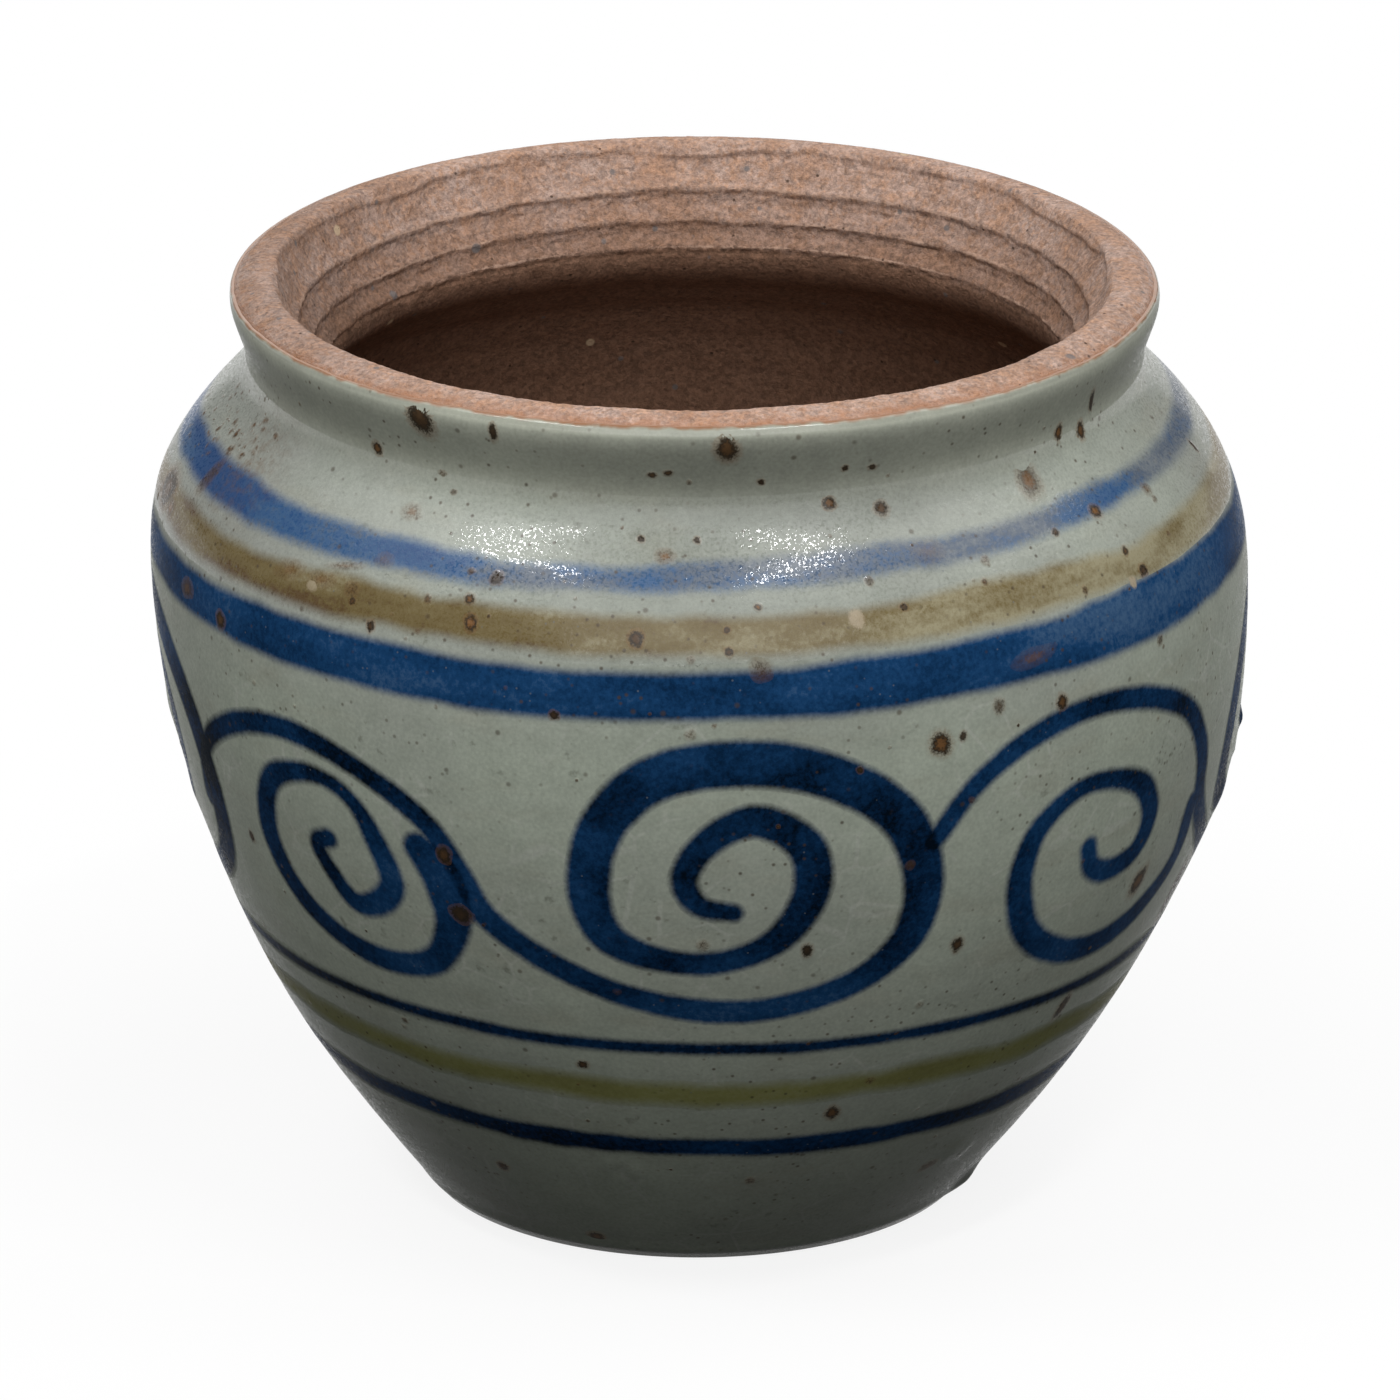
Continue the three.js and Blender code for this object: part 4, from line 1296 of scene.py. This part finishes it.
def frieze_pieces(material):
    heights = FRIEZE_LOW + np.arange(FRIEZE_ROWS)[:, None] * FRIEZE_STEP
    azimuth, heights = np.broadcast_arrays(columns_round(FRIEZE_COLUMNS), heights)
    wander = rippled(STROKE_WANDER, azimuth, heights)
    strokes = frieze_strokes()
    fields = [stroke_field(points) + wander for name, node, points, lift in strokes]
    union = np.clip(np.max(fields, axis=0), -EDGE_LIMIT, EDGE_LIMIT)
    load = np.maximum(1, sum(smoothstep(*CROSSED, field) for field in fields))
    load = load + rippled(STROKE_PATCHES, azimuth, heights)
    back = place(azimuth, heights, -PAINT_BACK)
    for (name, node, points, lift), field in zip(strokes, fields):
        inside = field > -PAINT_RIM
        inside = inside[:-1] & inside[1:]
        keep = inside & np.roll(inside, -1, axis=1)
        top = place(azimuth, heights, paint_lift(field, PAINT_RIM, lift))
        piece = patch_piece(name, keep, top, back, {EDGE_NAME: union, LOAD_NAME: load})
        finish_piece(piece, material, "cobalt_brushwork", node)
    return union, load


# Iron spots


def seen_at(across, down):
    # Azimuth and height, in radians and millimetres, of the outer wall behind a pixel of the photograph
    side = (across - PHOTO_SIZE / 2) / FOCAL_PIXELS + CAMERA_SHIFT * PHOTO_SIZE / FOCAL_PIXELS
    drop = (down - PHOTO_SIZE / 2) / FOCAL_PIXELS
    forward = math.cos(CAMERA_DIP) - drop * math.sin(CAMERA_DIP)
    upward = -math.sin(CAMERA_DIP) - drop * math.cos(CAMERA_DIP)
    start = Vector(CAMERA_PLACE) / MM
    reach = np.linspace(*RAY_RUN)
    x = start.x + side * reach
    y = start.y + forward * reach
    z = start.z + upward * reach
    outside = np.hypot(x - lean(z), y) - wall(np.clip(z, 0, LIP_CURVE[-1][1]))[0]
    outside = np.where(z > LIP_CURVE[0][1], 1.0, outside)
    hit = int(np.argmax(outside < 0)) if (outside < 0).any() else int(np.argmin(outside))
    return math.atan2(x[hit] - lean(z[hit]), -y[hit]), float(z[hit])


def all_spots():
    spots = [(*seen_at(across, down), *rest) for across, down, *rest in SPOTS_SEEN]
    spots += [(degrees * DEGREE, height, *rest) for degrees, height, *rest in SPOTS_BEHIND]
    random = np.random.default_rng(SPECK_SEED)
    for _ in range(CLOUD_COUNT):
        angle = random.uniform(0, TURN)
        far = random.uniform(0, 1) ** CLOUD_CROWDING
        across = CLOUD_CENTRE[0] + far * CLOUD_REACH[0] * math.cos(angle)
        down = CLOUD_CENTRE[1] + far * CLOUD_REACH[1] * math.sin(angle)
        fall = CLOUD_FALL[0] - CLOUD_FALL[1] * far
        size = CLOUD_LEAST + CLOUD_SPREAD * random.uniform(0, 1) ** CLOUD_FEW * fall
        shape = (size, size * random.uniform(*CLOUD_LENGTH), random.uniform(*CLOUD_TILT))
        look = (random.uniform(*CLOUD_WARMTH), random.uniform(*SPECK_STRENGTH))
        spots.append((*seen_at(across, down), *shape, *look))
    for _ in range(LOOSE_COUNT):
        height = LOOSE_LOW + (LOOSE_HIGH - LOOSE_LOW) * random.uniform(0, 1) ** LOOSE_CROWDING
        size = LOOSE_LEAST + LOOSE_SPREAD * random.uniform(0, 1) ** LOOSE_FEW
        strength = random.uniform(*SPECK_STRENGTH)
        azimuth = random.uniform(0, TURN)
        spots.append((azimuth, height, size, size, 0, random.uniform(*LOOSE_WARMTH), strength))
    return spots


def paint_under(azimuth, height, frieze):
    # How far each place lies inside each paint, in millimetres, and how much pigment lies there
    edges = {paint: np.full(azimuth.shape, -EDGE_LIMIT) for paint in PAINTS}
    loads = {paint: np.ones(azimuth.shape) for paint in PAINTS}
    for index, band in enumerate(BANDS):
        paint = band[-1]
        edge = band_depth(index, azimuth, height)
        nearer = edge > edges[paint]
        edges[paint] = np.where(nearer, edge, edges[paint])
        loads[paint] = np.where(nearer, band_load(index, azimuth), loads[paint])
    row = np.round((height - FRIEZE_LOW) / FRIEZE_STEP).astype(int)
    column = np.round(azimuth / TURN * FRIEZE_COLUMNS).astype(int) % FRIEZE_COLUMNS
    inside = (row >= 0) & (row < FRIEZE_ROWS)
    row = np.clip(row, 0, FRIEZE_ROWS - 1)
    edges["cobalt_stroke"] = np.where(inside, frieze[0][row, column], -EDGE_LIMIT)
    loads["cobalt_stroke"] = frieze[1][row, column]
    values = {EDGE_NAME + paint: edge for paint, edge in edges.items()}
    values.update({LOAD_NAME + paint: load for paint, load in loads.items()})
    return values


def spot_faces():
    # Faces of one spot: its hub, its rings and the cone that closes it underneath
    last = SPOT_RINGS * SPOT_SIDES
    faces = [tuple(range(SPOT_SIDES))]
    for side in range(SPOT_SIDES):
        after = (side + 1) % SPOT_SIDES
        for inner in range(0, last, SPOT_SIDES):
            outer = inner + SPOT_SIDES
            faces.append((inner + side, outer + side, outer + after, inner + after))
        faces.append((last + after, last + side, last + SPOT_SIDES))
    return faces


def spot_piece(upper, lower, frieze):
    spots = np.array(all_spots())
    count = len(spots)
    azimuth, height, half_width, half_height, tilt, warmth, strength = spots.T[:, :, None, None]
    angles = columns_round(SPOT_SIDES)
    share = ((np.arange(SPOT_RINGS + 1) + SPOT_HUB) / (SPOT_RINGS + SPOT_HUB))[None, :, None]
    waves = SPOT_WAVES[None, :, None]
    phases = np.random.default_rng(SPOT_SEED).uniform(0, TURN, (count, len(SPOT_WAVES), 1))
    ragged = 1 + SPOT_RAGGED * (np.sin(waves * angles + phases) / waves).sum(axis=1)[:, None, :]
    wide = half_width * SPOT_SPREAD * share * ragged * np.cos(angles)
    tall = half_height * SPOT_SPREAD * share * ragged * np.sin(angles)
    across = wide * np.cos(tilt * DEGREE) - tall * np.sin(tilt * DEGREE)
    upward = wide * np.sin(tilt * DEGREE) + tall * np.cos(tilt * DEGREE)
    radius, out, up = wall(height)
    turned_to = azimuth + across / radius
    risen_to = np.minimum(height + upward * out, glaze_line(turned_to) - SPOT_EDGE_GAP)
    lift = -PAINT_SINK + (SPOT_LIFT + PAINT_SINK) * (1 - share ** 2)
    top = place(turned_to, risen_to, lift).reshape(count, -1, 3)
    points = np.concatenate([top, place(azimuth[:, 0], height[:, 0], -SPOT_BACK)], axis=1)
    size = points.shape[1]
    faces = spot_faces()
    starts = range(0, count * size, size)
    every_face = [tuple(corner + first for corner in face) for first in starts for face in faces]
    # Each spot has its own square of the map
    squares = int(math.ceil(math.sqrt(count)))
    corner = np.stack(np.divmod(np.arange(count), squares)[::-1], axis=1)[:, None]
    ring = np.stack([share * np.cos(angles), share * np.sin(angles)], axis=-1).reshape(-1, 2)
    disc = np.append(SPOT_MAP_MIDDLE + SPOT_MAP_REACH * ring, [SPOT_MAP_TIP], axis=0)
    uv = (corner + disc).reshape(-1, 2) / squares
    order = [corner for face in every_face for corner in face]
    values = {SPOT_NAME: np.tile(np.append((1 - share + 0 * angles).ravel(), 0.0), count)}
    values[WARM_NAME] = np.repeat(warmth.ravel(), size)
    values[STRENGTH_NAME] = np.repeat(strength.ravel(), size)
    turns = np.concatenate([turned_to.reshape(count, -1), azimuth[:, 0]], axis=1).ravel()
    rises = np.concatenate([risen_to.reshape(count, -1), height[:, 0]], axis=1).ravel()
    values.update(paint_under(turns, rises, frieze))
    piece = make_piece("iron_spots", points.reshape(-1, 3), every_face, uv[order], values)
    finish_piece(piece, upper, "glaze")
    low = (height < SPOT_SEAM) | (height > NECK_SEAM)
    add_second(piece, lower, np.repeat(low, len(faces)))


# Stage


def aimed(place_of, aim, along):
    away = (Vector(place_of) - aim).normalized()
    side = Vector(along)
    side = (side - away * side.dot(away)).normalized()
    upward = away.cross(side)
    turn = Matrix((side, upward, away)).transposed().to_4x4()
    return Matrix.Translation(place_of) @ turn


def make_lamps():
    for name, place_of, along, length, width, power in LAMPS:
        data = bpy.data.lights.new(name, "AREA")
        data.shape = "RECTANGLE"
        data.size = length
        data.size_y = width
        data.energy = power
        add_object(name, data).matrix_world = aimed(place_of, LAMP_AIM, along)


def make_world():
    world = bpy.data.worlds.new("studio")
    world.use_nodes = True
    background = world.node_tree.nodes["Background"]
    background.inputs["Color"].default_value = (WORLD_GREY, WORLD_GREY, WORLD_GREY, 1)
    bpy.context.scene.world = world


def floor_material():
    nodes = Nodes("pale_floor")
    path = nodes.add("ShaderNodeLightPath").outputs
    seen = nodes.most(path["Is Camera Ray"], path["Is Glossy Ray"])
    seen = nodes.most(seen, path["Is Transmission Ray"])
    pale = nodes.add("ShaderNodeBsdfDiffuse", {"Color": FLOOR_SEEN})
    glow = nodes.add("ShaderNodeEmission", {"Color": WHITE, "Strength": 1.0})
    far = nodes.vector("LENGTH", nodes.place)["Value"]
    share = nodes.smooth(far, *FLOOR_GLOW)
    bright = nodes.add("ShaderNodeMixShader", {0: share, 1: pale.outputs[0], 2: glow.outputs[0]})
    bounce = nodes.add("ShaderNodeBsdfDiffuse", {"Color": FLOOR_BOUNCE})
    both = nodes.add("ShaderNodeMixShader", {0: seen, 1: bounce.outputs[0], 2: bright.outputs[0]})
    nodes.add("ShaderNodeOutputMaterial", {"Surface": both.outputs[0]})
    return nodes.material


def make_floor():
    azimuth = columns_round(FLOOR_COLUMNS)
    points = np.stack([np.cos(azimuth), np.sin(azimuth), 0 * azimuth], axis=1) * FLOOR_RADIUS
    points[:, 2] = -FLOOR_DROP
    mesh = bpy.data.meshes.new("floor")
    mesh.from_pydata(points.tolist(), [], [list(range(FLOOR_COLUMNS))])
    mesh.materials.append(floor_material())
    floor = add_object("floor", mesh)


def make_camera():
    data = bpy.data.cameras.new("photo_camera")
    data.sensor_width = SENSOR_WIDTH
    data.lens = FOCAL_PIXELS / PHOTO_SIZE * SENSOR_WIDTH
    data.shift_x = CAMERA_SHIFT
    camera = add_object("photo_camera", data)
    camera.location = CAMERA_PLACE
    camera.rotation_euler = (math.pi / 2 - CAMERA_DIP, 0, 0)
    bpy.context.scene.camera = camera


# Scene

paints = {paint: painted_material(paint) for paint in PAINTS}
clay_piece(clay_material())
glaze_piece(glaze_material("grey_glaze", GLAZE_SHINE), glaze_material("low_grey_glaze", LOW_GLAZE_SHINE))
for number, band in enumerate(BANDS):
    band_piece(number, paints[band[-1]], SLOTS[band[-1]])
frieze = frieze_pieces(paints["cobalt_stroke"])
spot_piece(spot_material("iron_spot", GLAZE_SHINE), spot_material("low_iron_spot", LOW_GLAZE_SHINE), frieze)

make_floor()
make_lamps()
make_world()
make_camera()
bpy.context.scene.view_settings.view_transform = "Standard"
